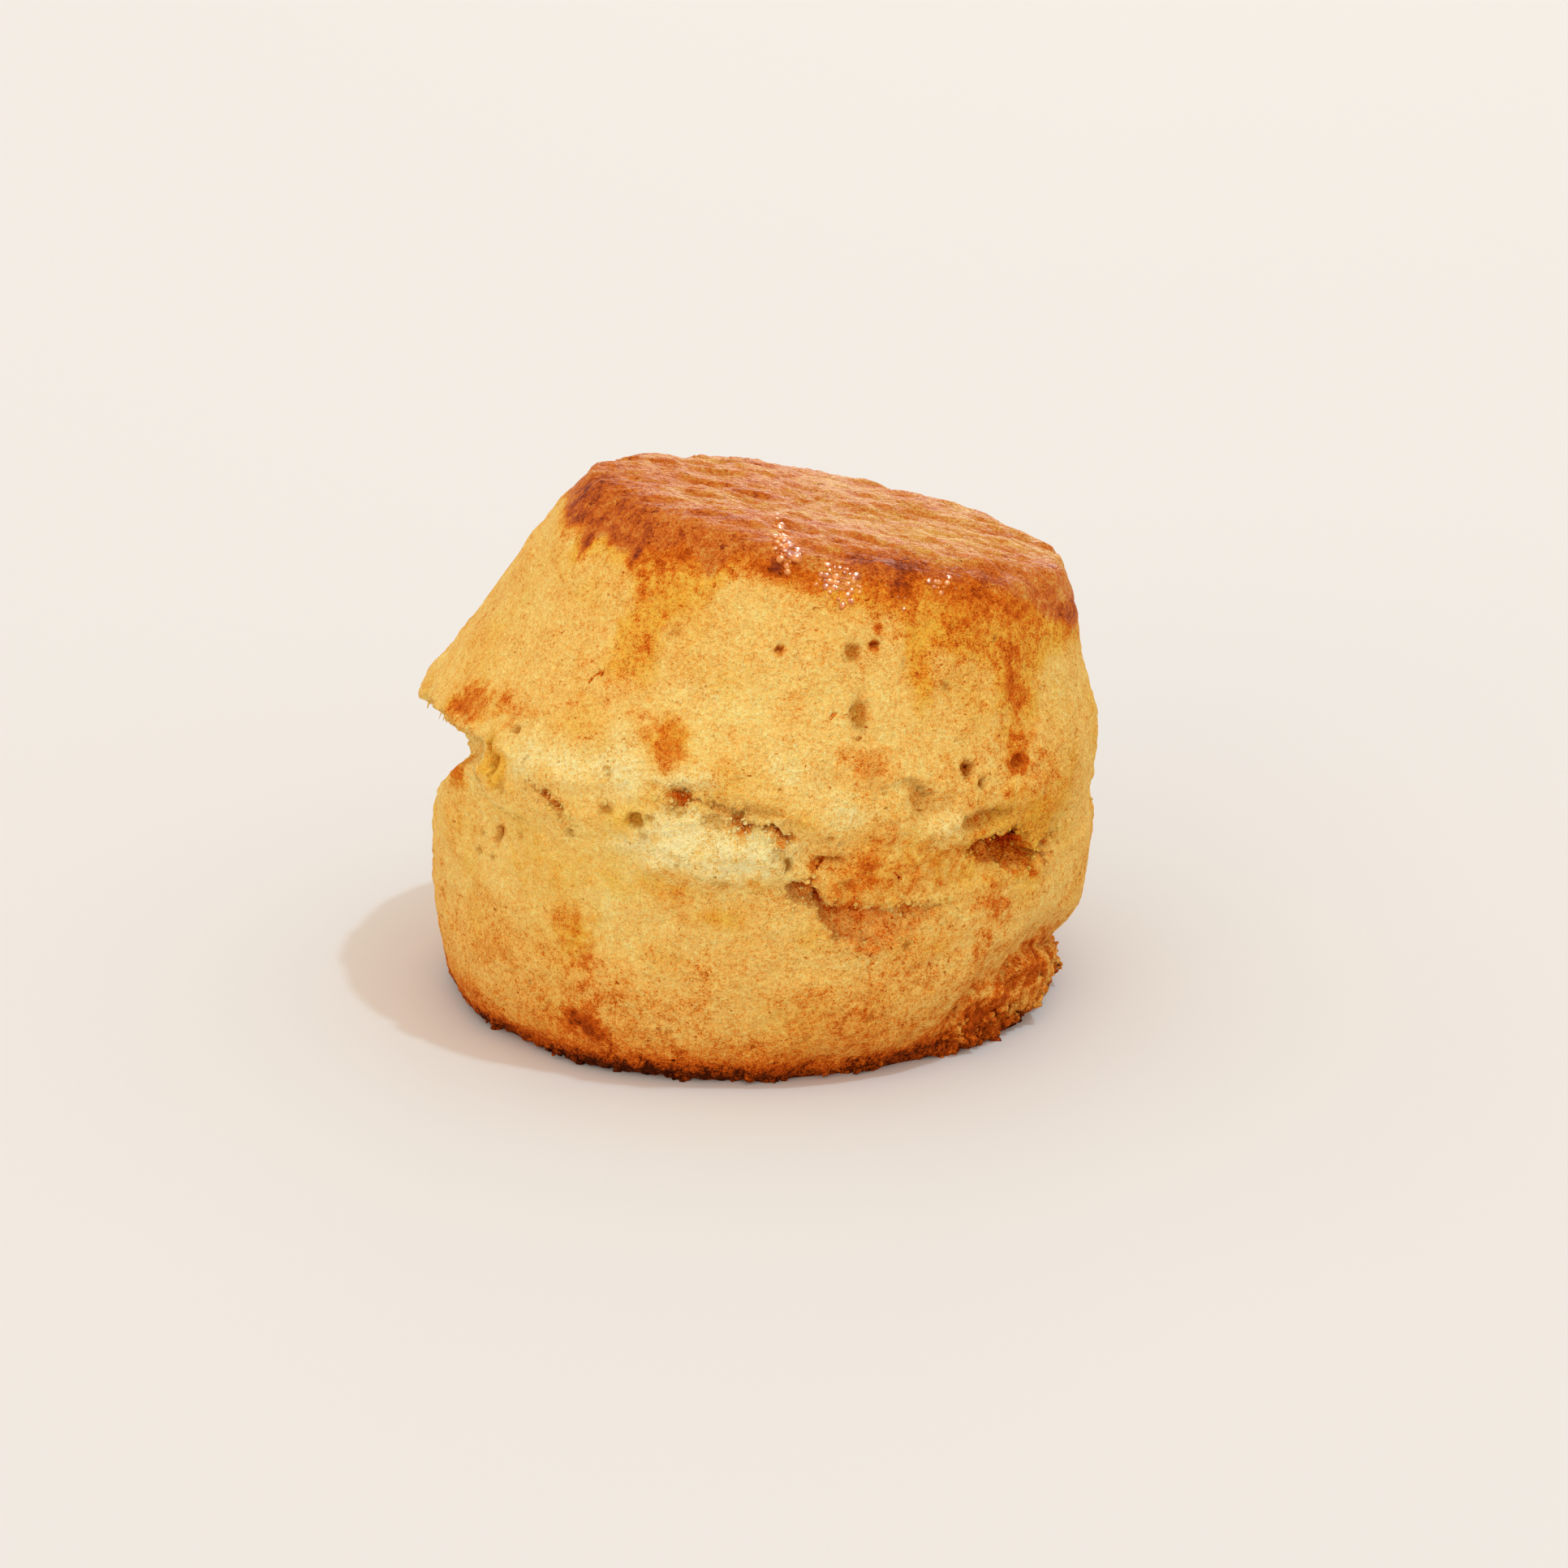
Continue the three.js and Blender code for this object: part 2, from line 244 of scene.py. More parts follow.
# Browned patches, the same way.
BROWNED = (
    # the rim and the brow
    (202, 48.8, 2.0, 1.4, 0.5), (220, 46.4, 1.4, 1.6, 0.5), (222, 48.8, 5.0, 1.0, 0.6),
    (224, 50.2, 8.0, 1.2, 0.3), (230, 47.6, 2.6, 1.2, 0.5), (239, 46.4, 1.4, 1.2, 0.6),
    (243.4, 44.0, 1.0, 1.0, 0.8), (246, 44.2, 2.0, 1.0, 0.6), (247.6, 40.4, 0.7, 0.8, 0.7),
    (248.4, 46.4, 7.0, 1.8, 0.55), (249.6, 45.8, 3.6, 2.0, 0.5), (250, 43.0, 1.2, 0.7, 0.5),
    (252.6, 44.6, 3.0, 1.2, 0.4), (274.5, 40.6, 0.5, 0.35, 1.6), (274.5, 47.2, 0.8, 0.7, 0.9),
    (278, 48.4, 2.6, 0.9, 0.3), (292.5, 40.7, 0.5, 0.35, 1.6), (293.4, 42.0, 0.4, 0.3, 1.4),
    (299.6, 44.8, 1.2, 0.8, 0.6), (309, 42.2, 6.0, 1.6, 0.4), (314, 42.6, 4.0, 2.0, 0.35),
    (334, 41.6, 6.0, 1.6, 0.5),
    # the flank
    (209.6, 31.7, 2.3, 1.5, 1.1), (211, 30.8, 1.4, 1.0, 0.8), (222, 33.0, 3.6, 1.3, 0.5),
    (251, 34.6, 4.4, 1.3, 0.35), (251.6, 34.6, 1.4, 0.8, 0.7), (253.8, 33.8, 2.2, 1.1, 0.9),
    (255.0, 31.9, 1.5, 1.1, 1.3), (269, 33.6, 3.0, 1.2, 0.35), (277, 36.6, 3.0, 1.0, 0.3),
    (285, 31.8, 0.9, 1.2, 0.7), (288.5, 30.6, 2.4, 2.2, 0.8), (316.5, 30.6, 4.6, 3.6, 0.45),
    (320, 30.6, 2.0, 2.4, 0.7), (320, 35.6, 4.6, 5.0, 0.35), (320.7, 34.6, 1.6, 2.6, 0.8),
    (321, 38.6, 2.2, 3.0, 0.4), (321, 39.6, 9.0, 2.6, 0.3), (334, 39.4, 8.0, 2.0, 0.3),
    # round the waist
    (184, 29.6, 1.6, 1.0, 0.6), (193, 19.4, 1.6, 1.6, 0.7), (209, 24.7, 1.8, 1.5, 0.8),
    (214.8, 19.0, 0.6, 1.0, 0.7), (220.4, 21.0, 0.6, 0.9, 0.8), (235, 26.6, 1.3, 0.6, 0.4),
    (257, 18.6, 1.3, 0.9, 0.6), (257, 21.2, 1.6, 0.8, 0.45), (257.4, 28.6, 1.3, 0.8, 0.6),
    (266, 20.4, 2.4, 1.0, 0.5), (267.5, 26.2, 1.4, 1.0, 0.6), (274, 25.1, 1.3, 0.8, 0.6),
    (286, 20.4, 3.6, 2.4, 0.8), (290, 22.0, 5.4, 2.6, 0.8), (290.5, 21.6, 9.0, 4.0, 0.3),
    (297, 20.8, 4.4, 2.8, 0.7), (318, 28.5, 1.3, 0.8, 1.4), (319, 26.0, 3.4, 1.4, 0.5),
    # the belly and the foot
    (237.6, 5.3, 2.0, 1.5, 1.2), (237.6, 15.4, 2.3, 1.6, 0.8), (239.8, 12.8, 1.8, 2.4, 0.8),
    (241.4, 10.2, 1.4, 1.8, 0.6), (303, 2.4, 4.0, 1.2, 0.45), (306, 2.8, 2.6, 0.9, 0.5),
    (311.7, 10.4, 2.0, 2.0, 0.55), (312, 4.0, 5.0, 1.6, 0.9), (312, 4.8, 3.0, 1.2, 0.5),
    (312.4, 15.2, 1.7, 2.4, 0.9), (321, 7.0, 3.0, 1.0, 0.4), (321.5, 5.4, 4.4, 1.7, 1.0),
    (328.5, 6.8, 4.4, 1.8, 0.9), (330, 7.4, 2.6, 1.2, 0.3), (337, 6.4, 6.0, 2.0, 0.7),
    (347, 4.4, 5.0, 1.4, 0.5),
    # the back
    (20, 26.0, 2.4, 2.0, 0.6), (48, 15.0, 1.8, 2.6, 0.7), (74, 31.0, 2.6, 2.2, 0.9),
    (95, 14.0, 2.0, 3.0, 0.8), (112, 24.0, 5.0, 1.4, 0.6), (118, 21.6, 4.6, 2.2, 0.7),
    (128, 30.0, 3.4, 1.4, 0.8), (143, 8.0, 2.6, 2.2, 1.0), (150, 23.6, 4.0, 1.2, 0.7),
    (165, 29.4, 2.6, 1.2, 0.8), (176, 22.6, 3.0, 1.0, 0.7),
)

# Pale torn crumb, the same way.
CRUMB = (
    # the flank
    (247, 30.4, 4.0, 2.4, 0.8), (262, 36.0, 7.0, 3.0, 0.3), (275, 30.4, 4.0, 3.2, 0.5),
    (276, 39.4, 4.0, 3.0, 0.25), (325, 33.0, 3.0, 6.0, 0.3),
    # round the waist
    (184, 25.4, 6.0, 2.0, 0.55), (205, 26.8, 4.0, 1.0, 0.3), (215.0, 28.8, 1.4, 2.0, 0.4),
    (229, 29.6, 3.0, 2.6, 0.6), (236, 29.6, 4.0, 2.8, 0.6), (249, 23.4, 3.2, 1.8, 0.6),
    (250, 21.0, 6.0, 1.8, 0.4), (256, 29.8, 4.0, 1.4, 0.7), (258, 24.6, 3.8, 2.6, 1.2),
    (261, 21.0, 6.0, 1.8, 0.55), (266, 23.8, 5.6, 3.2, 1.1), (284, 27.0, 3.4, 2.2, 0.6),
    (301.4, 24.4, 2.0, 1.8, 1.0), (333, 29.0, 4.0, 9.0, 0.45),
    # the belly and the foot
    (284, 12.4, 5.0, 0.9, 0.4), (327, 2.0, 4.0, 1.2, 0.4), (340, 1.6, 3.0, 0.9, 0.5),
    # the back
    (24, 20.6, 5.0, 2.0, 0.4), (48, 22.0, 7.0, 2.0, 0.4), (70, 27.4, 6.0, 2.2, 0.5),
    (86, 19.6, 5.0, 2.2, 0.45), (98, 25.0, 6.0, 2.0, 0.5), (115, 14.0, 5.0, 1.2, 0.5),
    (134, 21.6, 6.0, 3.4, 0.5), (158, 26.0, 5.0, 2.2, 0.5), (168, 21.4, 5.0, 1.6, 0.5),
)

# How much each mark adds to the bake of the side: the foot is browner and the tear and skirt
# paler in themselves, while creases and pits get painted shade, pits browning too, and lumps
# painted light.
BAKE_AND_SHADE_BY_MARK = {
    "creases": 0.12, "foot": 0.24, "pits": 0.05, "lumps": -0.06, "in_tear": -0.03, "on_skirt": -0.04,
}
# Painted light: stretches of the left front made paler: azimuth, height, reach round, reach up,
# how much paler.
PAINTED_LIGHT_STRETCHES = ((212, 24, 16, 6, 0.1), (246, 18, 24, 5, 0.08))
RIGHT_STAINS = 320  # the azimuth where the stain is baked darkest
DARK_BROW = 304  # the azimuth where the washed brow is baked darkest


# ---------------------------------------------------------------- formulas
def ease(low, high, value):
    """A smooth step: 0 up to low, 1 from high, and a cubic between them."""
    part = np.clip((value - low) / (high - low), 0.0, 1.0)
    return part * part * (3.0 - 2.0 * part)


def bell(distance):
    """A bell curve: 1 at distance 0, falling off on both sides."""
    return np.exp(-0.5 * distance**2)


def cubic(here, there, slope_here, slope_there, part):
    """The cubic from here to there that starts and ends with the two given slopes."""
    cube = part**3
    square = part**2
    return (
        (2 * cube - 3 * square + 1) * here
        + (cube - 2 * square + part) * slope_here
        + (3 * square - 2 * cube) * there
        + (cube - square) * slope_there
    )


def round_the_dough(knots, azimuth, column):
    """A measure given at a few azimuths, carried round the full turn by cubics whose slope at
    each knot is the slope between its two neighbours."""
    table = np.array(sorted(knots), dtype=float)
    turns = np.concatenate([table[-2:, 0] - 360, table[:, 0], table[:2, 0] + 360])
    values = np.concatenate([table[-2:, column], table[:, column], table[:2, column]])
    slopes = np.zeros_like(values)
    slopes[1:-1] = (values[2:] - values[:-2]) / (turns[2:] - turns[:-2])
    place = np.clip(np.searchsorted(turns, azimuth, side="right") - 1, 1, len(turns) - 3)
    span = turns[place + 1] - turns[place]
    part = (azimuth - turns[place]) / span
    return cubic(
        values[place], values[place + 1], slopes[place] * span, slopes[place + 1] * span, part
    )


def loft(azimuth, along):
    """The smooth dough: each measure of a section runs on to the next section by a cubic, and the
    point lies at the section's centre plus its radius, on the section's tilted plane."""
    table = np.array(list(SECTIONS.values()))
    last = len(table) - 1
    place = np.clip(np.floor(along).astype(int), 0, last - 1)
    part = (along - place)[..., None]
    before, here, there, after = (table[np.clip(place + step, 0, last)] for step in (-1, 0, 1, 2))
    measures = cubic(here, there, (there - before) / 2, (after - here) / 2, part)
    x, y, radius, height, slope_x, slope_y = np.moveaxis(measures, -1, 0)
    x = x + radius * np.cos(np.radians(azimuth))
    y = y + radius * np.sin(np.radians(azimuth))
    z = height + slope_x * x + slope_y * y
    return np.stack([x, y, z], axis=-1)


def outward_directions(points):
    """Unit normals of a grid of rows and closed columns: the cross product of the steps to the
    neighbours round the dough and up it."""
    across = np.roll(points, -1, axis=1) - np.roll(points, 1, axis=1)
    up = np.gradient(points, axis=0)
    normal = np.cross(across, up)
    return normal / np.maximum(np.linalg.norm(normal, axis=-1, keepdims=True), 1e-9)


def scramble(cell, seed):
    """A number from 0 to 1 for each whole-number cell: its coordinates are multiplied by large odd
    numbers and added, then folded on themselves by shifts."""
    mixed = np.uint32(seed * 40503 + 977)
    for axis, factor in enumerate((2376512323, 3625334849, 3407524639)):
        mixed = mixed + cell[..., axis].astype(np.uint32) * np.uint32(factor)
    for shift, factor in ((15, 739982445), (12, 695872825)):
        mixed = (mixed ^ (mixed >> np.uint32(shift))) * np.uint32(factor)
    return (mixed ^ (mixed >> np.uint32(15))) / 2.0**32


# A fixed turn between octaves, so that their lattices don't line up.
OCTAVE_TURN = np.array([[0.36, 0.48, -0.8], [-0.8, 0.6, 0.0], [0.48, 0.64, 0.6]])


def swell(points, size, seed):
    """Random hills from -1 to 1, about size mm across: the random numbers of the eight lattice
    corners round a point, blended by an eased weight along each axis."""
    place = points / size
    corner = np.floor(place).astype(np.int64)
    part = place - corner
    weight = part**3 * (part * (part * 6 - 15) + 10)
    total = 0.0
    for offset in np.ndindex(2, 2, 2):
        share = np.prod(np.where(offset, weight, 1 - weight), axis=-1)
        total = total + share * scramble(corner + np.array(offset), seed)
    return 2 * total - 1


def rough(points, size, octaves, seed):
    """Swells of halving size and height, each lattice turned against the last, added up."""
    total = 0.0
    height = 1.0
    for octave in range(octaves):
        total = total + height * swell(points, size, seed + octave)
        points = points @ OCTAVE_TURN
        size = size / 2
        height = height / 2
    return total


def scattered_rounds(points, size, share, small, large, seed):
    """Round holes or lumps: one random point in each cell of a lattice, kept with the chance given
    by share, is the middle of one with its own radius. Gives 1 inside them and 0 outside."""
    place = points / size
    corner = np.floor(place).astype(np.int64)
    height = np.zeros(points.shape[:-1])
    for offset in np.ndindex(3, 3, 3):
        cell = corner + np.array(offset) - 1
        middle = np.stack([scramble(cell, seed + axis) for axis in range(3)], axis=-1) + cell
        kept = scramble(cell, seed + 3) < share
        radius = small + (large - small) * scramble(cell, seed + 4) ** 2
        distance = np.linalg.norm(place - middle, axis=-1) * size
        height = np.maximum(height, kept * (1 - ease(0.35 * radius, radius, distance)))
    return height


def pushed_about(points, size, reach, seed):
    """The points, each pushed by up to about reach mm along every axis by swells."""
    push = [rough(points, size, 2, seed + 10 * axis) for axis in range(3)]
    return points + reach * np.stack(push, axis=-1)


def shelves(points, size, seed):
    """Flaky layers: a swell cut into steps, each a gentle slope that ends in a sudden drop."""
    climb = 2.5 * rough(points, size, 3, seed)
    part = climb - np.floor(climb)
    return part * (1 - ease(0.82, 1.0, part))


# ---------------------------------------------------------------- marks on the dough
def round_from(at, azimuth):
    """Distance round the waist in mm from one azimuth to another."""
    return np.radians((azimuth - at + 180) % 360 - 180) * WAIST_RADIUS


def ovals(table, azimuth, level):
    """For each row of a table of ovals, its last number and how far each point is from its
    middle, as a multiple of its half width and half height."""
    for at, height, wide, tall, amount in table:
        yield amount, np.hypot(round_from(at, azimuth) / wide, (level - height) / tall)


def patches(table, azimuth, level, ragged):
    """Soft patches: each falls in a straight line from its strength at the middle, through half
    of it at its edge, to nothing at twice the distance. Ragged noise shifts the outline."""
    total = np.zeros_like(level)
    for strength, distance in ovals(table, azimuth, level):
        field = strength * np.clip(1 - 0.5 * (distance + 0.4 * ragged), 0, 1)
        total = np.maximum(total, field)
    return total


def dents(azimuth, level, ragged):
    """Hollows with a steep wall and a flat floor, each an oval whose outline is ragged."""
    depth = np.zeros_like(level)
    for deep, distance in ovals(DENTS, azimuth, level):
        depth = np.maximum(depth, deep * (1 - ease(0.5, 1.15, distance + 0.25 * ragged)))
    return depth


def bulges(azimuth, level, ragged):
    """Low swellings that end in a fairly steep, uneven edge."""
    rise = np.zeros_like(level)
    for high, distance in ovals(BULGES, azimuth, level):
        rise = np.maximum(rise, high * (1 - ease(0.45, 1.2, distance + 0.15 * ragged)))
    return rise


def hairlines(azimuth, level):
    """Distance across the nearest hairline crack in mm, signed, and how open the crack is there
    (it closes at its ends). A crack is a bowed line with a zigzag of noise."""
    away = np.full_like(level, NO_CRACK)
    opened = np.zeros_like(level)
    lines = [
        ((azimuth - start) / (end - start), low, high, bow, level)
        for start, low, end, high, bow in HAIRLINES
    ]
    at, top, bottom = PLUMB_CRACK
    lines.append(((level - bottom) / (top - bottom), 0.0, 0.4, 0.0, round_from(at, azimuth)))
    reach = 1.2
    for part, low, high, bow, measure in lines:
        course = np.stack([part * 7, part * 0, part * 0 + low], axis=-1)
        line = low + (high - low) * part + 4 * bow * part * (1 - part)
        line = line + 0.35 * rough(course, 1.0, 2, 71)
        distance = measure - line
        inner = ease(0, 0.25, part) * (1 - ease(0.75, 1, part))
        here = inner * (1 - ease(0.7, reach, np.abs(distance)))
        nearer = (part > 0) & (part < 1) & (np.abs(distance) < reach)
        away = np.where(nearer, distance, away)
        opened = np.where(nearer, here, opened)
    return away, opened


def rip(knots, azimuth, level, seed, sloping=False):
    """A ragged opening between a top and a bottom edge. The floor drops in at the bottom edge and
    sinks further up to the top edge, which hangs down over it a little; a sloping one leads in
    evenly instead. Gives how far in each point goes, how far down, how much painted shade it gets
    in there and how far inside the outline it lies."""
    table = np.array(knots)
    first, last = table[0, 0], table[-1, 0]
    inside = (azimuth > first) & (azimuth < last)
    top, bottom, depth = (np.interp(azimuth, table[:, 0], table[:, k]) for k in (1, 2, 3))
    line = np.stack([round_from(first, azimuth), 0 * level, 0 * level], axis=-1)
    gape = np.clip((top - bottom) / 2.0, 0.2, 1.0)
    top = top + gape * 0.35 * rough(line, 0.8, 2, seed)
    bottom = bottom + gape * 0.4 * rough(line, 1.2, 3, seed + 7)
    height = np.maximum(top - bottom, 0.1)
    rise = (level - bottom) / height
    steps = 0.55 * ease(0.0, 0.25, rise) + 0.45 * ease(0.2, 0.9, rise)
    ramp = (ease(0.0, 1.0, rise) if sloping else steps) * (rise < 1)
    inward = inside * depth * ramp
    hang = inside * 0.12 * np.minimum(depth, 2.5) * np.exp(-np.maximum(level - top, 0) / 0.7)
    hang = hang * (rise >= 1)
    beyond = np.maximum(round_from(azimuth, first), -round_from(azimuth, last))
    within = np.minimum(np.minimum(level - bottom, top - level), -beyond)
    # Painted shade inside the rip: more the deeper it goes, most near the top edge that hangs over it.
    top_shade = ease(0.45, 0.75, rise) * np.clip(depth - 1.2, 0.2, 2.4)
    dark = np.clip(0.25 + depth / 4, 0, 1) * (0.45 + 0.5 * top_shade) * (within > -0.6)
    return inward, hang, dark, within


def tear_reach(azimuth, level, ragged):
    """How far in the tear goes: from the ledge it eases in to a flat back wall, and its roof comes
    out again to a sharp lip, which flares. At the left both are slopes, elsewhere steeper. Gives
    the reach and how deep inside a point lies."""
    ledge, lip, depth = (round_the_dough(TEAR, azimuth, column) for column in (1, 2, 3))
    depth = np.maximum(depth, 0)
    rise = (level + 0.3 * ragged * np.clip(depth / 2, 0.3, 1) - ledge) / (lip - ledge)
    left = bell(round_from(WIDEST_TEAR, azimuth) / 14.0)
    roof = np.clip((1 - rise) / (0.22 + 0.16 * left), 0, 1) ** 0.7
    hollow = ease(0.0, 0.24 + 0.18 * left, rise) * roof
    flare = bell((rise - 1.0) / 0.16) * (depth > 1)
    return depth * (0.12 * flare - hollow), hollow * np.clip(depth / 3, 0, 1)


def skirt_reach(azimuth, level, ragged):
    """How far the skirt stands out. The side curves in to the crease from above, and under the
    crease the skirt steps half the way back out, then slopes to its reach at the floor."""
    reach, crease, tuck = (round_the_dough(SKIRT, azimuth, column) for column in (1, 2, 3))
    tuck = np.maximum(tuck, 0)
    above = level - crease + 0.35 * ragged
    over = 1 - ease(0.0, 5.0, above)
    under = (1 - 0.55 * ease(0.0, 0.9, -above)) * ease(0.0, 0.8 * crease, level)
    standing = np.maximum(reach, 0) * (1 - ease(1.0, np.maximum(crease, 1.5), level))
    return standing - tuck * np.where(above > 0, over, under), ease(0.3, 1.2, tuck) * (above < 0)


# ---------------------------------------------------------------- the skin
def crowded(positions, weights, count):
    """count values spread over the given positions, closer together where the weight is high: the
    running total of the weights is cut into equal steps."""
    total = np.concatenate([[0], np.cumsum((weights[1:] + weights[:-1]) / 2 * np.diff(positions))])
    return np.interp(np.linspace(0, total[-1], count), total, positions)


def skin_grid():
    """Azimuths closest together at the front, and rows evenly spaced along the profile apart from
    a band round the waist, where they lie closer."""
    half_degrees = np.linspace(0, 360, 721)
    front = 1 + 0.6 * bell((half_degrees - FINELY_TORN) / 60)
    azimuths = crowded(half_degrees, front, COLUMNS + 1)[:-1]

    steps = np.linspace(0, len(ORDER) - 1 - CROWN_GAP, 3001)
    profile = loft(np.full_like(steps, 300.0), steps)
    speed = np.linalg.norm(np.gradient(profile, steps, axis=0), axis=-1)
    level = profile[:, 2]
    waist_band = ease(11, 15, level) * (1 - ease(30, 34, level))
    rows = crowded(steps, speed * (1 + 0.8 * waist_band), ROWS)
    return np.meshgrid(azimuths, rows)


def off_the_sole(along):
    """0 at the sole's edge, which stays flat on the floor, and 1 from a little above it."""
    return ease(-0.1, 0.25, along)


def openings(smooth, azimuth, level):
    """All the rips and folds together, their outlines made ragged by pushing each point about a
    little before it is looked up. Gives how far in, how far down, how much painted shade and how
    far inside."""
    azimuth = azimuth + np.degrees(0.32 * rough(smooth, 0.9, 2, 61) / WAIST_RADIUS)
    level = level + 0.26 * rough(smooth, 0.9, 2, 67)
    inward = np.zeros_like(level)
    hang = np.zeros_like(level)
    dark = np.zeros_like(level)
    within = np.full_like(level, NO_RIP)
    for place, knots in enumerate(RIPS.values()):
        parts = rip(knots, azimuth, level, 101 + 10 * place)
        inward, hang, dark, within = map(np.maximum, (inward, hang, dark, within), parts)
    for place, knots in enumerate(FOLDS.values()):
        deeper, lower = rip(knots, azimuth, level, 401 + 10 * place, sloping=True)[:2]
        inward, hang = np.maximum(inward, deeper), np.maximum(hang, lower)
    return inward, hang, dark, within


def dough_form():
    """The scone's large forms: the loft pushed in and out by the tear, skirt, rips, dents and
    bulges. Gives the points and the marks that the finer work and the colours go by."""
    turn, along = skin_grid()
    smooth = loft(turn, along)
    outward = outward_directions(smooth)
    level = smooth[..., 2]
    azimuth = np.degrees(np.arctan2(smooth[..., 1], smooth[..., 0])) % 360
    around = np.stack([np.cos(np.radians(turn)), np.sin(np.radians(turn)), 0 * level], -1)
    side = 1 - ease(RIM - 0.7, RIM, along)
    coarse = rough(smooth, LARGE, 2, 11)
    middling = rough(smooth, MEDIUM, 2, 23)
    fine = rough(smooth, SMALL, 2, 37)

    torn, in_tear = tear_reach(azimuth, level, middling + 0.5 * fine)
    skirt, on_skirt = skirt_reach(azimuth, level, middling)
    inward, hang, dark, within = openings(smooth, azimuth, level)
    pits = dents(azimuth, level, fine)
    lift = 0.3 * coarse + bulges(azimuth, level, middling) - inward - pits
    lift *= off_the_sole(along)
    points = smooth + outward * lift[..., None] + around * (torn * side + skirt)[..., None]
    points[..., 2] -= hang

    rim = SECTIONS["rim"]
    away, opened = hairlines(azimuth, level)
    marks = {
        "azimuth": azimuth,
        "level": level,
        "along": along,
        "coarse": coarse,
        "middling": middling,
        "side": side,
        "foot": 1 - ease(0.8, 3.0, level),
        "below_rim": rim[3] + rim[4] * smooth[..., 0] + rim[5] * smooth[..., 1] - level,
        "rightwards": smooth[..., 0] - rim[0],
        "crumb": np.clip(patches(CRUMB, azimuth, level, middling), 0, 1) * side,
        # hollow is the painted shade inside the rips, and pits carries painted shade into dents and
        # pores.
        "hollow": dark,
        "pits": ease(0.1, 0.7, pits),
        "in_tear": in_tear * side,
        "within": within,
        "on_skirt": on_skirt,
        "away": away,
        "opened": opened * ease(-0.3, 0.1, fine),
    }
    return points, marks


def side_roughness(points, bent, marks):
    """Heights of the side's roughness: unevenness and flaky layers everywhere, more of both in
    torn crumb, round lumps in rips and on the foot, and pores, creases and cracks that go in.
    The creases, lumps and pores are noted in the marks for the colours: painted shade in creases
    and pores, painted light on lumps."""
    side, skirt, crumbly = marks["side"], marks["on_skirt"], ease(0.25, 0.7, marks["crumb"])
    middling = rough(points, MEDIUM, 2, 123)
    fine = rough(points, SMALL, 2, 137)
    lumps = scattered_rounds(points, 1.1, 0.8, 0.4, 0.9, 157)
    pores = scattered_rounds(bent, 3.6, 0.25, 0.3, 0.8, 211)
    crumb_pores = crumbly * scattered_rounds(bent, 2.2, 0.4, 0.3, 0.9, 223)
    pores = side * np.maximum(pores, crumb_pores)

    flat = points * np.array([1.0, 1.0, 2.2])
    layers = shelves(flat, 5.0, 307)
    creased = side * (1 - ease(9, 19, marks["level"])) * ease(-0.4, 0.2, swell(flat, 6.0, 251))
    creases = creased * (1 - ease(0.0, 0.2, np.abs(swell(flat, 3.0, 241) + 0.35 * fine)))

    in_rip = ease(-0.2, 0.3, marks["within"])
    granular = np.clip(in_rip + 0.8 * marks["foot"] + skirt, 0, 1)
    height = side * (0.13 * middling + 0.09 * fine + 0.1 * layers)
    height += crumbly * (0.12 * middling + 0.14 * fine + 0.1 * layers)
    height += granular * (0.22 * lumps + 0.16 * fine)
    height += skirt * (0.4 * middling + 0.15 * fine)
    height += marks["in_tear"] * (0.25 * middling + 0.2 * fine + 0.15 * lumps)
    height += (1 - side) * 0.08 * middling
    height -= 0.3 * pores + 0.15 * creases + 0.15 * marks["opened"] * bell(marks["away"] / 0.35)
    marks.update(creases=creases, lumps=granular * lumps)
    marks["pits"] = np.maximum(marks["pits"], 0.6 * pores)
    return height


def wash_wrinkles(bent, marks):
    """Heights of the washed top: ripples, and wrinkles drawn out to the left and right between
    folds that stand up as ridges. The wrinkles and folds are noted in the marks."""
    drawn_out = bent * np.array([0.5, 1.4, 1.4])
    wrinkled = rough(drawn_out, 2.6, 3, 271)
    folds = 1 - 2 * np.abs(swell(drawn_out, 2.2, 277))
    ripples = rough(drawn_out, 1.0, 2, 283)
    marks.update(wrinkled=wrinkled, folds=folds)
    on_top = ease(RIM - 0.3, RIM + 0.8, marks["along"])
    return (1 - marks["side"]) * 0.1 * ripples + on_top * (0.2 * wrinkled + 0.18 * folds)


def dough_skin():
    """The scone's skin: the large forms lifted along their own outward directions by the
    roughness of the side and the wrinkles of the wash, with the sole's edge flat on the floor."""
    points, marks = dough_form()
    bent = pushed_about(points, 0.9, 0.3, 191)
    lift = side_roughness(points, bent, marks) + wash_wrinkles(bent, marks)
    lift *= off_the_sole(marks["along"])
    points = points + outward_directions(points) * lift[..., None]
    points[..., 2] = np.maximum(points[..., 2], 0.0)
    points[0, :, 2] = 0.0
    return points, marks


def edge_field(knots, marks, ragged):
    """1 well inside a line drawn under the rim and 0 well outside it, passing one half on the
    line and changing by a quarter per mm."""
    line = round_the_dough(knots, marks["azimuth"], 1)
    return np.clip(0.5 - (marks["below_rim"] - line + 0.5 * ragged) / 4, 0, 1)


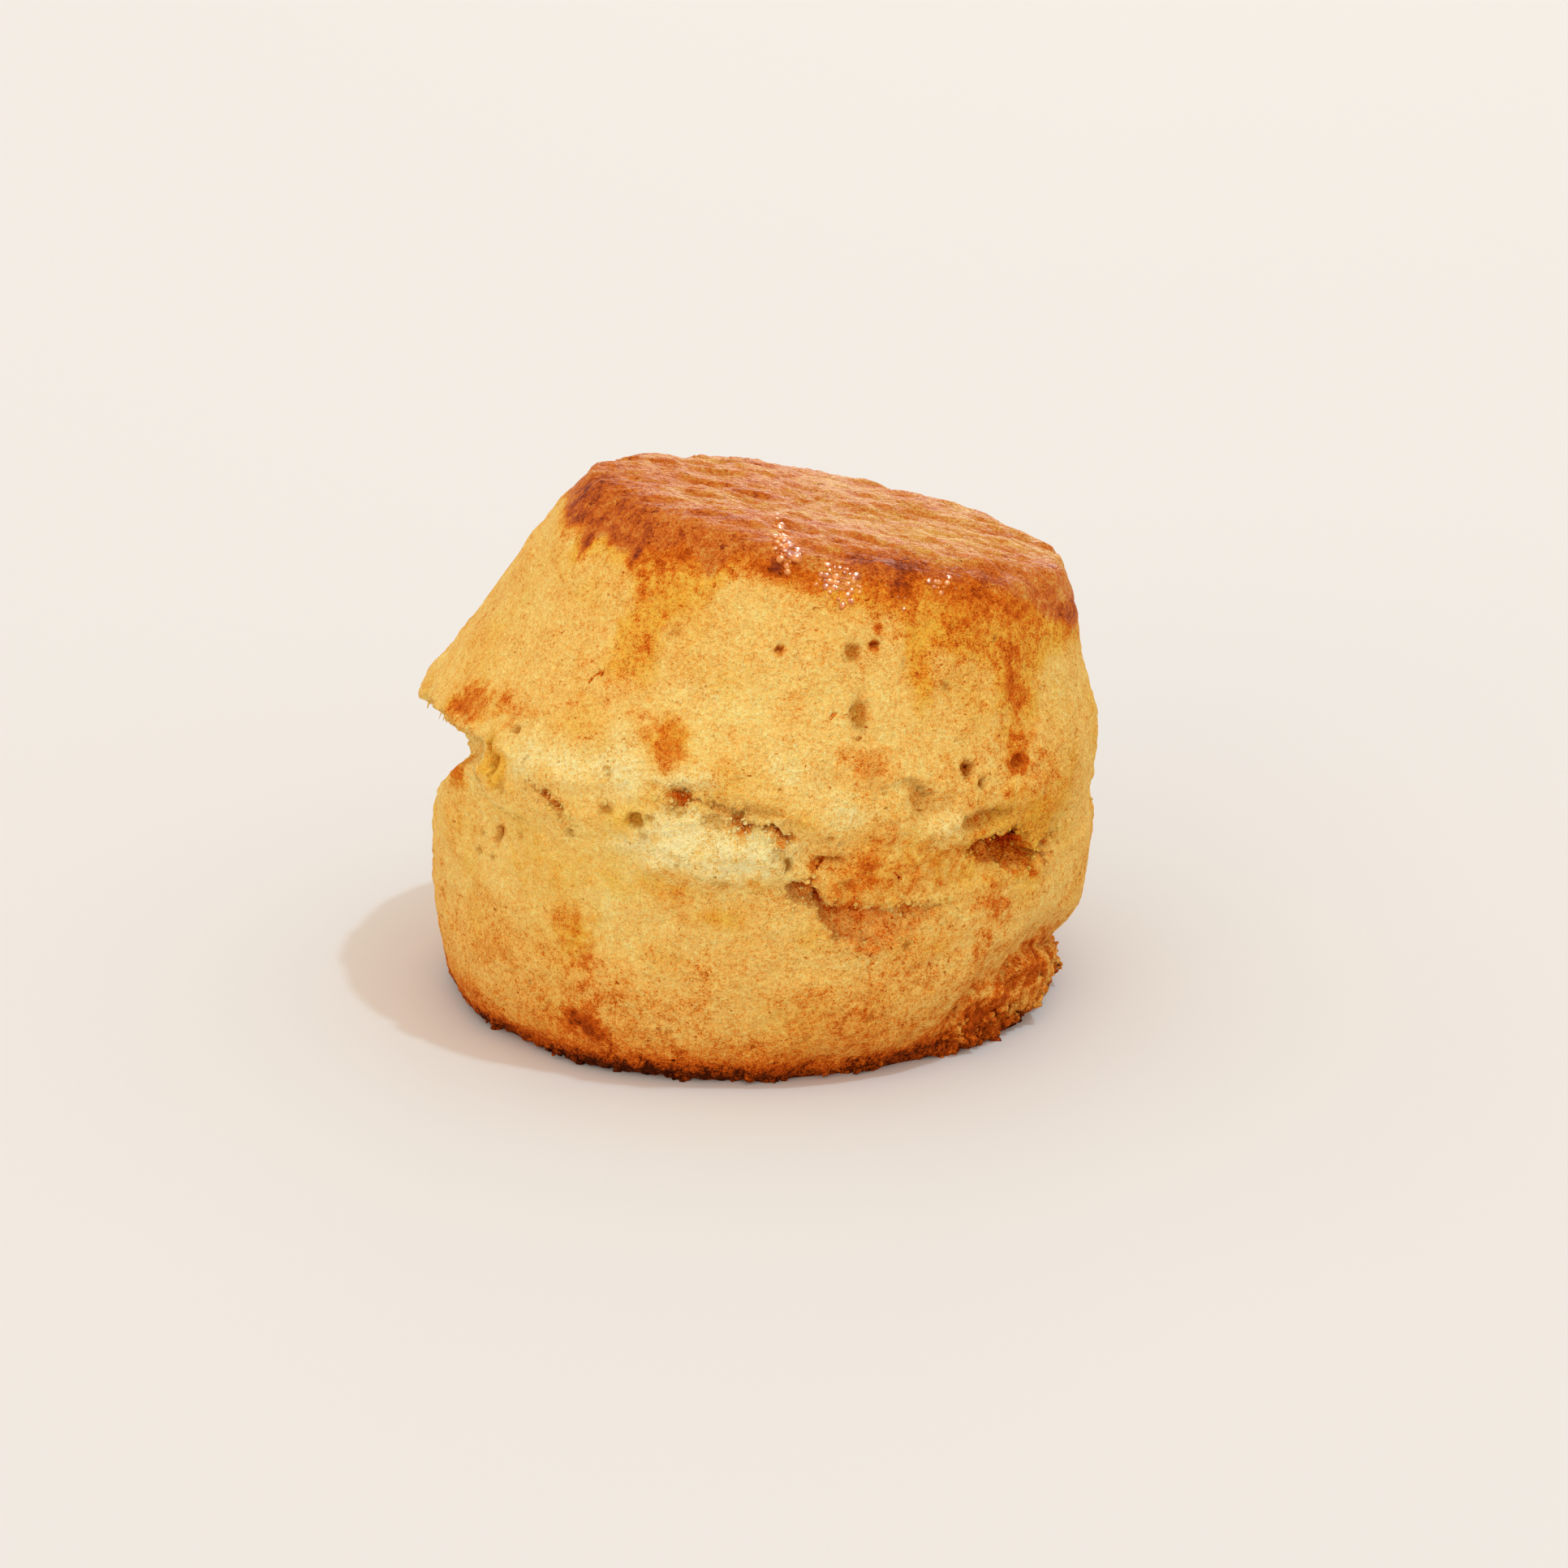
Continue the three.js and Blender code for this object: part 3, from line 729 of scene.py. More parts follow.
def baked_side(marks, stain, under_wash):
    """How baked the side is: golden, deeper towards the foot, under the wash and in a line below
    its edge, and changed by the marks, with painted shade in creases and pits and painted light
    on lumps, and by the painted light on the left front."""
    azimuth, level, middling = marks["azimuth"], marks["level"], marks["middling"]
    bake = 0.35 + 0.08 * marks["coarse"] + 0.04 * middling
    bake += 0.1 * (1 - ease(5, 20, level)) + 0.24 * (1 - ease(0.5, 7.0, level + 0.8 * middling))
    # Painted shade in creases and pits, painted light on lumps, and the foot, tear and skirt's own
    # colour.
    for name, amount in BAKE_AND_SHADE_BY_MARK.items():
        bake += amount * marks[name]
    # Painted light on the left front.
    for at, height, wide, tall, paler in PAINTED_LIGHT_STRETCHES:
        bake -= paler * bell(round_from(at, azimuth) / wide) * bell((level - height) / tall)
    right = bell(round_from(RIGHT_STAINS, azimuth) / 16)
    bake += (0.01 + 0.08 * right) * np.clip(stain, 0, 1)
    bake += 0.07 * bell(np.maximum(under_wash, 0) / 1.6) * (0.8 + 0.3 * middling)
    return bake + (0.3 + 0.06 * middling) * (1 - ease(-0.6, 0.6, under_wash))


def baked_top(marks, under_wash):
    """How baked the top is: lighter to the right and on wrinkles, with a darker band along the
    rim and the wash's edge, and the darkest brow at the front right. Where the wrinkles stand up
    they are lighter, partly as paler wash and partly as painted sheen."""
    coarse, middling = marks["coarse"], marks["middling"]
    along_rim = bell((marks["below_rim"] + 0.4 + 0.3 * coarse) / 1.5)
    along_wash = bell((under_wash + 0.9 + 0.3 * coarse) / 1.1)
    band = np.maximum(along_rim, along_wash) * (0.85 + 0.3 * middling)
    brow = bell(round_from(DARK_BROW, marks["azimuth"]) / 15)
    brow *= bell((marks["along"] - RIM - 1.05) / 0.4)
    bake = 0.515 + 0.14 * band + (0.18 + 0.1 * coarse) * brow + 0.06 * coarse + 0.04 * middling
    # Raised wrinkles and folds lighter: partly paler wash, partly painted sheen.
    return bake - 0.03 * marks["wrinkled"] - 0.03 * marks["folds"] - 0.005 * marks["rightwards"]


def colour_fields(marks):
    """What the material needs at each point: how baked it is (0 pale to 1 nearly burnt, painted
    shade and light from the marks included), painted shade for pits and rips, and the soft
    fields that it turns into the ragged edges of wash, stain, browning and crumb."""
    azimuth, level, middling = marks["azimuth"], marks["level"], marks["middling"]
    side = marks["side"]
    stain = patches(STAINS, azimuth, level, middling)
    stain = np.maximum(edge_field(STAIN_EDGE, marks, middling), stain)
    browned = patches(BROWNED, azimuth, level, middling)
    under_wash = marks["below_rim"] - round_the_dough(WASH_EDGE, azimuth, 1)
    on_side = baked_side(marks, stain, under_wash) * side
    return {
        "bake": on_side + baked_top(marks, under_wash) * (1 - side),
        "wash": edge_field(WASH_EDGE, marks, middling),
        "stain": stain,
        "brown": browned * (1 - ease(RIM + 0.2, RIM + 0.8, marks["along"])),
        "crumb": marks["crumb"],
        # Painted shade for pits and for inside the rips.
        "pits": marks["pits"],
        "hollow": marks["hollow"],
        "gap": np.clip(0.5 + marks["within"] / 3, 0, 1),
        "crack_away": marks["away"],
        "crack_open": marks["opened"],
    }


def sole(edge, fields):
    """Rows of points from the edge of the sole to near its middle, each the edge's outline at a
    smaller scale, well browned all over."""
    scale = np.linspace(1, 0, SOLE_ROWS + 2)[1:-1, None, None]
    points = edge[None] * scale
    plain = np.ones(points.shape[:2])
    amounts = {name: 0 * plain for name in fields}
    amounts["bake"] = 0.72 + 0.08 * rough(points, 5.0, 3, 281)
    amounts["crack_away"] = NO_CRACK * plain
    return points, amounts


def grid_faces(rows, columns, first_pole, last_pole):
    """Quads between the rows of a grid whose columns close on themselves, and a fan of triangles
    from each pole to the row next to it."""
    index = np.arange(rows * columns).reshape(rows, columns)
    after = np.roll(index, -1, axis=1)
    quads = np.stack([index[:-1], after[:-1], after[1:], index[1:]], axis=-1).reshape(-1, 4)
    low = np.stack([np.full(columns, first_pole), after[0], index[0]], axis=-1)
    high = np.stack([index[-1], after[-1], np.full(columns, last_pole)], axis=-1)
    return quads.tolist() + low.tolist() + high.tolist()


def make_piece(name, points, faces, fields, material):
    """A mesh object at the origin from points in mm, with one number per point for each field,
    smooth shaded."""
    mesh = bpy.data.meshes.new(name)
    mesh.from_pydata(points * MM, [], faces)
    for label, values in fields.items():
        layer = mesh.attributes.new(label, "FLOAT", "POINT")
        layer.data.foreach_set("value", np.ascontiguousarray(values, dtype=np.float32).ravel())
    mesh.polygons.foreach_set("use_smooth", np.ones(len(mesh.polygons), dtype=bool))
    mesh.materials.append(material)
    piece = bpy.data.objects.new(name, mesh)
    bpy.context.collection.objects.link(piece)
    return piece


def make_skin(material):
    """The scone's skin as one closed piece. Gives the piece, the points, outward directions and
    fields of its upper grid for what is stuck on it, and the marks."""
    points, marks = dough_skin()
    fields = colour_fields(marks)
    under, under_fields = sole(points[0], fields)
    grid = np.concatenate([under[::-1], points])
    rows, columns = grid.shape[:2]
    crown = points[-1].mean(axis=0)
    corners = np.concatenate([grid.reshape(-1, 3), [[0.0, 0.0, 0.0], crown]])
    on_corners = {}
    for name, values in fields.items():
        poles = [under_fields[name].mean(), values[-1].mean()]
        on_corners[name] = np.concatenate([under_fields[name][::-1].ravel(), values.ravel(), poles])
    count = rows * columns
    faces = grid_faces(rows, columns, count, count + 1)
    piece = make_piece("scone_skin", corners, faces, on_corners, material)
    return piece, (points, outward_directions(points), fields), marks


# ---------------------------------------------------------------- what sticks to the skin
# Grains: how many, least and most radius, share sunk in, how uneven, how flat they are pressed.
TORN_CRUMBS = {
    "count": 1200, "radii": (0.06, 0.22), "sunk": 0.45, "uneven": 0.9, "pressed": 0.0, "seed": 3,
}
FOOT_CRUMBS = {
    "count": 380, "radii": (0.12, 0.5), "sunk": 0.4, "uneven": 0.9, "pressed": 0.0, "seed": 4,
}
WASH_BUBBLES = {
    "count": 16, "radii": (0.3, 0.7), "sunk": 0.5, "uneven": 0.3, "pressed": 0.4, "seed": 6,
}
WASH_DROPLETS = {
    "count": 120, "radii": (0.1, 0.42), "sunk": 0.5, "uneven": 0.4, "pressed": 0.6, "seed": 7,
}
GRAIN_RINGS, GRAIN_SIDES = 4, 7
SHREDS = 11
SHRED_RINGS, SHRED_SIDES = 6, 5

# Where wash foamed up and where it dried in droplets: azimuth, distance under the rim's plane,
# reach round in degrees, reach up, how crowded.
FOAM = ((277, -1.0, 2.6, 0.9, 1.0),)
DROPLETS = (
    (277, -1.4, 1.8, 0.6, 1.0), (287, 0.2, 3.0, 1.1, 1.3), (299.5, 0.5, 0.9, 0.7, 0.8),
    (310, -0.9, 2.6, 0.5, 0.8),
)


def pick(chance, count, random):
    """Random places on the grid, each as likely as its chance."""
    weights = np.maximum(chance, 0).ravel()
    return random.choice(weights.size, size=count, replace=False, p=weights / weights.sum())


def unit_ball(rings, sides):
    """A ball of radius 1: rings of corners between two poles."""
    around = np.linspace(0, 2 * np.pi, sides, endpoint=False)
    up = np.linspace(-np.pi / 2, np.pi / 2, rings + 2)[1:-1]
    turn, tilt = np.meshgrid(around, up)
    grid = np.stack([np.cos(tilt) * np.cos(turn), np.cos(tilt) * np.sin(turn), np.sin(tilt)], axis=-1)
    corners = np.concatenate([grid.reshape(-1, 3), [[0, 0, -1], [0, 0, 1]]])
    return corners, grid_faces(rings, sides, rings * sides, rings * sides + 1)


def repeated(faces, copies, corners):
    """The faces of one shape, numbered on for each of its copies."""
    return [
        tuple(corner + copy * corners for corner in face) for copy in range(copies) for face in faces
    ]


def from_hosts(fields, hosts, corners):
    """Each field's value at the places that copies are stuck to, once for each of their corners."""
    return {name: np.repeat(values.ravel()[hosts], corners) for name, values in fields.items()}


def make_grains(name, chance, skin, material, count, radii, sunk, uneven, pressed, seed):
    """Small grains stuck on the skin: balls pulled and bent out of round by noise, pressed flat
    against the skin, sunk into it by a share of their radius and coloured like it."""
    points, outward, fields = skin
    random = np.random.default_rng(seed)
    hosts = pick(chance, count, random)
    ball, faces = unit_ball(GRAIN_RINGS, GRAIN_SIDES)
    least, most = radii
    radius = least + (most - least) * random.random(count) ** 2
    stretch = 1 + uneven * random.uniform(-0.6, 0.6, (count, 1, 3))
    turned = np.linalg.qr(random.normal(size=(count, 3, 3)))[0]
    turned = turned * np.sign(np.linalg.det(turned))[:, None, None]
    shape = (ball * stretch) @ turned
    away = outward.reshape(-1, 3)[hosts]
    shape = shape - pressed * (shape @ away[:, :, None]) * away[:, None]
    standing = radius * (1 - pressed) * (1 - 2 * sunk)
    middle = points.reshape(-1, 3)[hosts] + away * standing[:, None]
    grains = middle[:, None] + shape * radius[:, None, None]
    knobbly = uneven * 0.5 * rough(grains + 50, 0.35, 2, seed)
    grains = grains + shape * (knobbly * radius[:, None])[..., None]
    grains[..., 2] = np.maximum(grains[..., 2], 0.0)
    amounts = from_hosts(fields, hosts, len(ball))
    faces = repeated(faces, count, len(ball))
    return make_piece(name, grains.reshape(-1, 3), faces, amounts, material)


def make_shreds(skin, marks, material):
    """Short torn fibres that hang from the left end of the upper lip: tapered tubes along paths
    that leave the dough outwards and droop by the square of the distance."""
    points, outward, fields = skin
    random = np.random.default_rng(5)
    azimuth = marks["azimuth"]
    lip = round_the_dough(TEAR, azimuth, 2)
    near_lip = bell((marks["level"] - lip + 0.9) / 0.7)
    near_lip *= ease(172, 180, azimuth) * (1 - ease(205, 214, azimuth))
    hosts = pick(near_lip, SHREDS, random)
    part = np.linspace(0, 1, SHRED_RINGS)[None, :, None]
    length = random.uniform(0.2, 0.5, (SHREDS, 1, 1))
    out = outward.reshape(-1, 3)[hosts][:, None] * 0.7 + random.normal(0, 0.5, (SHREDS, 1, 3))
    droop = np.array([0.0, 0.0, -1.0]) * (0.3 * part + 0.6 * part**2)
    path = points.reshape(-1, 3)[hosts][:, None] + length * (out * part + droop)
    turn = np.linspace(0, 2 * np.pi, SHRED_SIDES, endpoint=False)
    round_tube = np.stack([np.cos(turn), np.sin(turn), 0 * turn], axis=-1)
    thick = random.uniform(0.1, 0.2, (SHREDS, 1, 1)) * (1 - 0.85 * part)
    tubes = path[:, :, None] - thick[..., None] * round_tube
    corners = np.concatenate([tubes.reshape(SHREDS, -1, 3), path[:, :1], path[:, -1:]], axis=1)
    on_tube = SHRED_RINGS * SHRED_SIDES
    faces = repeated(grid_faces(SHRED_RINGS, SHRED_SIDES, on_tube, on_tube + 1), SHREDS, on_tube + 2)
    amounts = from_hosts(fields, hosts, on_tube + 2)
    # The shreds get none of the painted shade inside rips.
    amounts["hollow"] = 0 * amounts["hollow"]
    return make_piece("lip_shreds", corners.reshape(-1, 3), faces, amounts, material)


def clusters(table, azimuth, below):
    """Ovals of chance under the rim that fall off as bells, added up."""
    total = np.zeros_like(below)
    for at, under_rim, wide, tall, amount in table:
        total += amount * bell((azimuth - at) / wide) * bell((below - under_rim) / tall)
    return total


def stick_on(skin, marks, dough, bubble):
    """The crumbs, shreds, bubbles and droplets that sit on the skin. Loose crumbs are torn, so
    they are paler than where they lie, and only those on the foot keep its browned patches."""
    points, outward, fields = skin
    azimuth, level, below = marks["azimuth"], marks["level"], marks["below_rim"]
    # Loose pieces carry no rip outline, painted shade of rips, browning or crack line.
    bare = {name: 0 * level for name in ("gap", "hollow", "brown", "crack_open")}
    torn = {**fields, **bare, "bake": fields["bake"] - 0.05}
    pale = (points, outward, torn)
    browned = (points, outward, {**torn, "brown": fields["brown"]})

    on_edges = bell(marks["within"] / 0.5) + 0.06 * (marks["within"] > 0)
    on_edges = on_edges + 0.15 * marks["in_tear"] + 0.03 * ease(0.5, 1.0, marks["crumb"])
    low_down = (1 - ease(0.3, 1.2, level)) * ease(-0.2, 0.6, marks["middling"])
    low_down = low_down + 0.4 * marks["on_skirt"] * (level < 4)

    foam = np.maximum(clusters(FOAM, azimuth, below) - 0.3, 0)
    dried = np.maximum(clusters(DROPLETS, azimuth, below) - 0.2, 0)
    return [
        make_grains("torn_crumbs", on_edges, pale, dough, **TORN_CRUMBS),
        make_grains("foot_crumbs", low_down, browned, dough, **FOOT_CRUMBS),
        make_shreds(skin, marks, dough),
        make_grains("wash_bubbles", foam, skin, bubble, **WASH_BUBBLES),
        make_grains("wash_droplets", dried, skin, bubble, **WASH_DROPLETS),
    ]


# ---------------------------------------------------------------- materials
STEP = {"interpolation_type": "SMOOTHSTEP"}  # a range that runs from 0 to 1 as ease does
RGBA = {"data_type": "RGBA"}
FIELDS = (
    "bake", "wash", "stain", "brown", "crumb", "pits", "hollow", "gap", "crack_away", "crack_open",
)
# Noises, from sandy grain to wide tides of colour: size in mm, detail.
NOISES = {
    "grain": (0.15, 1.0), "speck": (0.4, 1.0), "fleck": (1.1, 2.0), "cloud": (3.0, 2.0),
    "tide": (8.0, 1.0),
}
# Mixes of the noises: how much of each.
MIXES = {
    "sandy": {"grain": 0.1, "speck": 0.4, "fleck": 0.5},
    "mottled": {"speck": 0.45, "fleck": 0.6},
    "cloudy": {"speck": 0.12, "fleck": 0.6, "cloud": 0.3},
    "torn_edge": {"grain": 0.05, "speck": 0.1, "fleck": 0.06},
    # Painted light and shade on the grain in uneven: raised grain lighter, sunk grain darker.
    "uneven": {"grain": -0.18, "speck": -0.13, "fleck": 0.08, "cloud": 0.06},
}
# Masks: where the field starts to show and shows in full, the noise along its edge, how jagged.
MASKS = {
    "wash": (0.38, 0.62, "mottled", 0.13),
    "stain": (0.15, 0.8, "mottled", 0.2),
    "brown": (0.1, 0.9, "cloudy", 0.34),
    "crumb": (0.1, 0.95, "cloudy", 0.34),
    "gap": (0.48, 0.54, "torn_edge", 1.0),
}
# Holes: cell size in mm, least and most radius in cells (below 0 is no hole), how jagged.
HOLES = {
    "pits": (3.0, -0.16, 0.12, 0.1),
    "pinholes": (1.1, -0.16, 0.17, 0.1),
    "pores": (2.2, -0.14, 0.2, 0.2),
}
# How much each look adds to the bake, and how high in mm it stands. In the bake, the darkening
# inside rips, along hairline cracks and at flake edges is painted shade, and in pits and
# pinholes it is painted shade as well as browning.
BAKE_AND_SHADE_BY_LOOK = {
    "brown": 0.3, "crumb": -0.2, "inside": 0.39, "pits": 0.14, "pinholes": 0.22, "crack": 0.42,
    "flake_edge_shadow": 0.14,
}
RELIEF = {
    "speck": 0.08, "fleck": 0.06, "pits": -0.08, "pinholes": -0.06, "pores": -0.06, "crack": -0.08,
    "flake": 0.06, "streak": 0.3,
}
# Colours of each kind of surface, by how baked it is.
RAMPS = {
    "dry": (
        (0.0, "#fce896"), (0.16, "#fad67a"), (0.38, "#f6c164"), (0.54, "#eea848"),
        (0.68, "#de7620"), (0.8, "#c4540e"), (0.9, "#943a0a"), (1.0, "#481a06"),
    ),
    "torn": (
        (0.0, "#fff0b0"), (0.18, "#ffe59a"), (0.34, "#fad884"), (0.5, "#ecb656"),
        (0.68, "#c87c24"), (1.0, "#6a2c06"),
    ),
    "yolky": (
        (0.0, "#f6cc58"), (0.36, "#f0b03c"), (0.5, "#e6942a"), (0.64, "#da6a14"),
        (0.8, "#b2480a"), (1.0, "#5a2008"),
    ),
    "glazed": (
        (0.0, "#ecbc70"), (0.3, "#dea856"), (0.46, "#d49644"), (0.56, "#ca7e30"),
        (0.66, "#cc6c1c"), (0.8, "#b6500e"), (1.0, "#76280a"),
    ),
}
# Colours multiplied into the crust as painted shade: olive in pits and pores, warm orange inside rips.
PIT_SHADE = "#ccac70"
RIP_SHADE = "#fec084"


def linear(hex_colour):
    """An sRGB hex colour as the linear red, green, blue and alpha that a shader takes."""
    parts = np.array([int(hex_colour[k:k + 2], 16) / 255 for k in (1, 3, 5)])
    low = parts / 12.92
    high = ((parts + 0.055) / 1.055) ** 2.4
    return (*np.where(parts <= 0.04045, low, high), 1.0)


def add(tree, kind, inputs=None, stops=None, **settings):
    """Adds a node with its settings and gives its first working output. inputs gives a socket a
    value or another node's output, and stops gives a colour ramp its places and hex colours."""
    made = tree.nodes.new(kind)
    for name, value in settings.items():
        setattr(made, name, value)
    for socket, value in (inputs or {}).items():
        if isinstance(value, bpy.types.NodeSocket):
            tree.links.new(value, made.inputs[socket])
        else:
            made.inputs[socket].default_value = value
    for place, (position, colour) in enumerate(stops or ()):
        ramp = made.color_ramp.elements
        stop = ramp[place] if place < 2 else ramp.new(position)
        stop.position = position
        stop.color = linear(colour)
    return next((output for output in made.outputs if output.enabled), None)


def new_material(name):
    """An empty node material and its node tree."""
    material = bpy.data.materials.new(name)
    material.use_nodes = True
    material.node_tree.nodes.clear()
    return material, material.node_tree


def weighted_sum(tree, start, terms):
    """start plus each term times its weight, as a chain of multiply-add nodes."""
    total = start
    for value, weight in terms:
        total = add(tree, "ShaderNodeMath", {0: value, 1: weight, 2: total}, operation="MULTIPLY_ADD")
    return total


def read_fields(tree):
    """The fields that each corner of the skin carries, by name."""
    field = {}
    for name in FIELDS:
        attribute = tree.nodes.new("ShaderNodeAttribute")
        attribute.attribute_name = name
        field[name] = attribute.outputs["Fac"]
    return field


def noise_bands(tree, at):
    """Noises from -1 to 1, each at its real size, and the mixes of them."""
    noise = {}
    for name, (size, detail) in NOISES.items():
        raw = add(tree, "ShaderNodeTexNoise", {
            "Vector": at, "Scale": 1 / (size * MM), "Detail": detail, "Roughness": 0.6,
        })
        noise[name] = add(tree, "ShaderNodeMapRange", {
            "Value": raw, "From Min": 0.3, "From Max": 0.7, "To Min": -1.0, "To Max": 1.0,
        })
    for name, parts in MIXES.items():
        noise[name] = weighted_sum(tree, 0.0, [(noise[part], share) for part, share in parts.items()])
    return noise


def ragged_masks(tree, field, noise):
    """The soft fields cut into masks whose edges follow a noise. Crumb shows only where no rip,
    browning or stain covers it."""
    mask = {}
    for name, (low, high, edge_noise, jag) in MASKS.items():
        ragged = weighted_sum(tree, field[name], ((noise[edge_noise], jag),))
        mask[name] = add(tree, "ShaderNodeMapRange", {
            "Value": ragged, "From Min": low, "From Max": high,
        }, **STEP)
    for cover in ("gap", "brown", "stain"):
        bare = add(tree, "ShaderNodeMath", {0: 1.0, 1: mask[cover]}, operation="SUBTRACT")
        mask["crumb"] = add(tree, "ShaderNodeMath", {0: mask["crumb"], 1: bare}, operation="MULTIPLY")
    return mask


def crumb_holes(tree, flat, noise):
    """Pits, pinholes and pores: one in each cell of a random mesh, its radius left to luck, with
    an edge that follows the grain."""
    holes = {}
    for name, (size, least, most, jag) in HOLES.items():
        away = add(tree, "ShaderNodeTexVoronoi", {"Vector": flat, "Scale": 1 / (size * MM)})
        luck = add(tree, "ShaderNodeSeparateColor", {0: away.node.outputs["Color"]})
        radius = add(tree, "ShaderNodeMapRange", {"Value": luck, "To Min": least, "To Max": most})
        past = weighted_sum(tree, away, ((radius, -1.0), (noise["sandy"], jag)))
        holes[name] = add(tree, "ShaderNodeMapRange", {
            "Value": past, "From Min": 0.025, "From Max": -0.025,
        }, **STEP)
    return holes


def hairline_cracks(tree, field, noise):
    """Lines about 0.4 mm wide, with soft edges, along the marked cracks: painted shade in each crack,
    and a shallow groove in the relief.
    """
    off_line = weighted_sum(tree, field["crack_away"], ((noise["sandy"], 0.16),))
    off_line = add(tree, "ShaderNodeMath", {0: off_line}, operation="ABSOLUTE")
    line = add(tree, "ShaderNodeMapRange", {
        "Value": off_line, "From Min": 0.26, "From Max": 0.12,
    }, **STEP)
    return add(tree, "ShaderNodeMath", {0: line, 1: field["crack_open"]}, operation="MULTIPLY")


def flaky_layers(tree, flat, noise):
    """Noise cut into steps: how far up each step a point lies, and a thin painted shadow where the
    next one starts, which fades out where there are no flakes."""
    climb = add(tree, "ShaderNodeTexNoise", {
        "Vector": flat, "Scale": 1 / (2.8 * MM), "Detail": 3.0, "Roughness": 0.6,
    })
    climb = add(tree, "ShaderNodeMath", {0: climb, 1: 9.0}, operation="MULTIPLY")
    flake = add(tree, "ShaderNodeMath", {0: climb}, operation="FRACT")
    start = add(tree, "ShaderNodeMapRange", {
        "Value": flake, "From Min": 0.16, "From Max": 0.0,
    }, **STEP)
    flaky = add(tree, "ShaderNodeMapRange", {
        "Value": noise["cloud"], "From Min": -0.3, "From Max": 0.5,
    }, **STEP)
    return flake, add(tree, "ShaderNodeMath", {0: start, 1: flaky}, operation="MULTIPLY")


def wash_streaks(tree, at):
    """Streaks from -0.06 to 0.06, drawn out to the left and right as the wash dried."""
    drawn_out = add(tree, "ShaderNodeVectorMath", {0: at, 1: (0.4, 1.6, 1.6)}, operation="MULTIPLY")
    streak = add(tree, "ShaderNodeTexNoise", {
        "Vector": drawn_out, "Scale": 1 / (1.2 * MM), "Detail": 3.0, "Roughness": 0.6,
    })
    return add(tree, "ShaderNodeMapRange", {
        "Value": streak, "From Min": 0.3, "From Max": 0.7, "To Min": -0.06, "To Max": 0.06,
    })


def uneven_baking(tree, field, look):
    """How much each spot's bake strays: the same speckle all over, partly painted light on raised
    grain and painted shade on sunk grain, stronger in crumb, weaker on browned patches, deep crust
    and under the wash, which adds its streaks."""
    under_wash = weighted_sum(tree, look["streak"], ((look["uneven"], -0.2),))
    under_wash = add(tree, "ShaderNodeMath", {0: under_wash, 1: look["wash"]}, operation="MULTIPLY")
    unwashed = add(tree, "ShaderNodeMath", {0: 1.0, 1: look["wash"]}, operation="SUBTRACT")
    deep = add(tree, "ShaderNodeMapRange", {
        "Value": field["bake"], "From Min": 0.4, "From Max": 0.6,
    }, **STEP)
    deep = add(tree, "ShaderNodeMath", {0: deep, 1: unwashed}, operation="MULTIPLY")
    change = weighted_sum(tree, 0.0, ((look["crumb"], 0.3), (look["brown"], -0.4), (deep, -0.4)))
    grainy = add(tree, "ShaderNodeMath", {0: look["uneven"], 1: change}, operation="MULTIPLY")
    return weighted_sum(tree, look["uneven"], ((under_wash, 1.0), (grainy, 1.0)))


def crust_colour(tree, field, look):
    """The colour: a ramp from raw to nearly burnt for each kind of surface, laid over each other
    by their masks, and darkened with painted shade in pits and inside rips."""
    baked = weighted_sum(tree, uneven_baking(tree, field, look), (
        (field["bake"], 1.0), *((look[name], amount) for name, amount in BAKE_AND_SHADE_BY_LOOK.items()),
    ))
    ramp = {name: add(tree, "ShaderNodeValToRGB", {"Fac": baked}, stops) for name, stops in RAMPS.items()}
    warm = add(tree, "ShaderNodeMapRange", {
        "Value": look["tide"], "From Min": -0.2, "From Max": 1.2,
    }, **STEP)
    stained = weighted_sum(tree, 0.0, ((look["stain"], 0.9), (warm, 0.5)))
    mixed = ramp["dry"]
    for cover, name in ((stained, "yolky"), (look["crumb"], "torn"), (look["wash"], "glazed")):
        mixed = add(tree, "ShaderNodeMix", {0: cover, 6: mixed, 7: ramp[name]}, **RGBA)
    # Painted shade in pits and pores, then warm painted shade inside rips.
    pitted = weighted_sum(tree, 0.0, (
        (field["pits"], 0.9), (look["pits"], 0.6), (look["pores"], 0.7),
    ))
    for place, shade in ((pitted, PIT_SHADE), (look["inside"], RIP_SHADE)):
        mixed = add(tree, "ShaderNodeMix", {
            0: place, 6: mixed, 7: linear(shade),
        }, blend_type="MULTIPLY", **RGBA)
    return mixed


def crust_relief(tree, look):
    """Fine relief in mm. The wash fills most of the finest grain."""
    grain = weighted_sum(tree, 0.055, ((look["wash"], -0.04),))
    relief = weighted_sum(tree, 0.0, (
        (look["grain"], grain), *((look[name], height) for name, height in RELIEF.items()),
    ))
    return add(tree, "ShaderNodeBump", {"Height": relief, "Strength": 1.0, "Distance": MM})


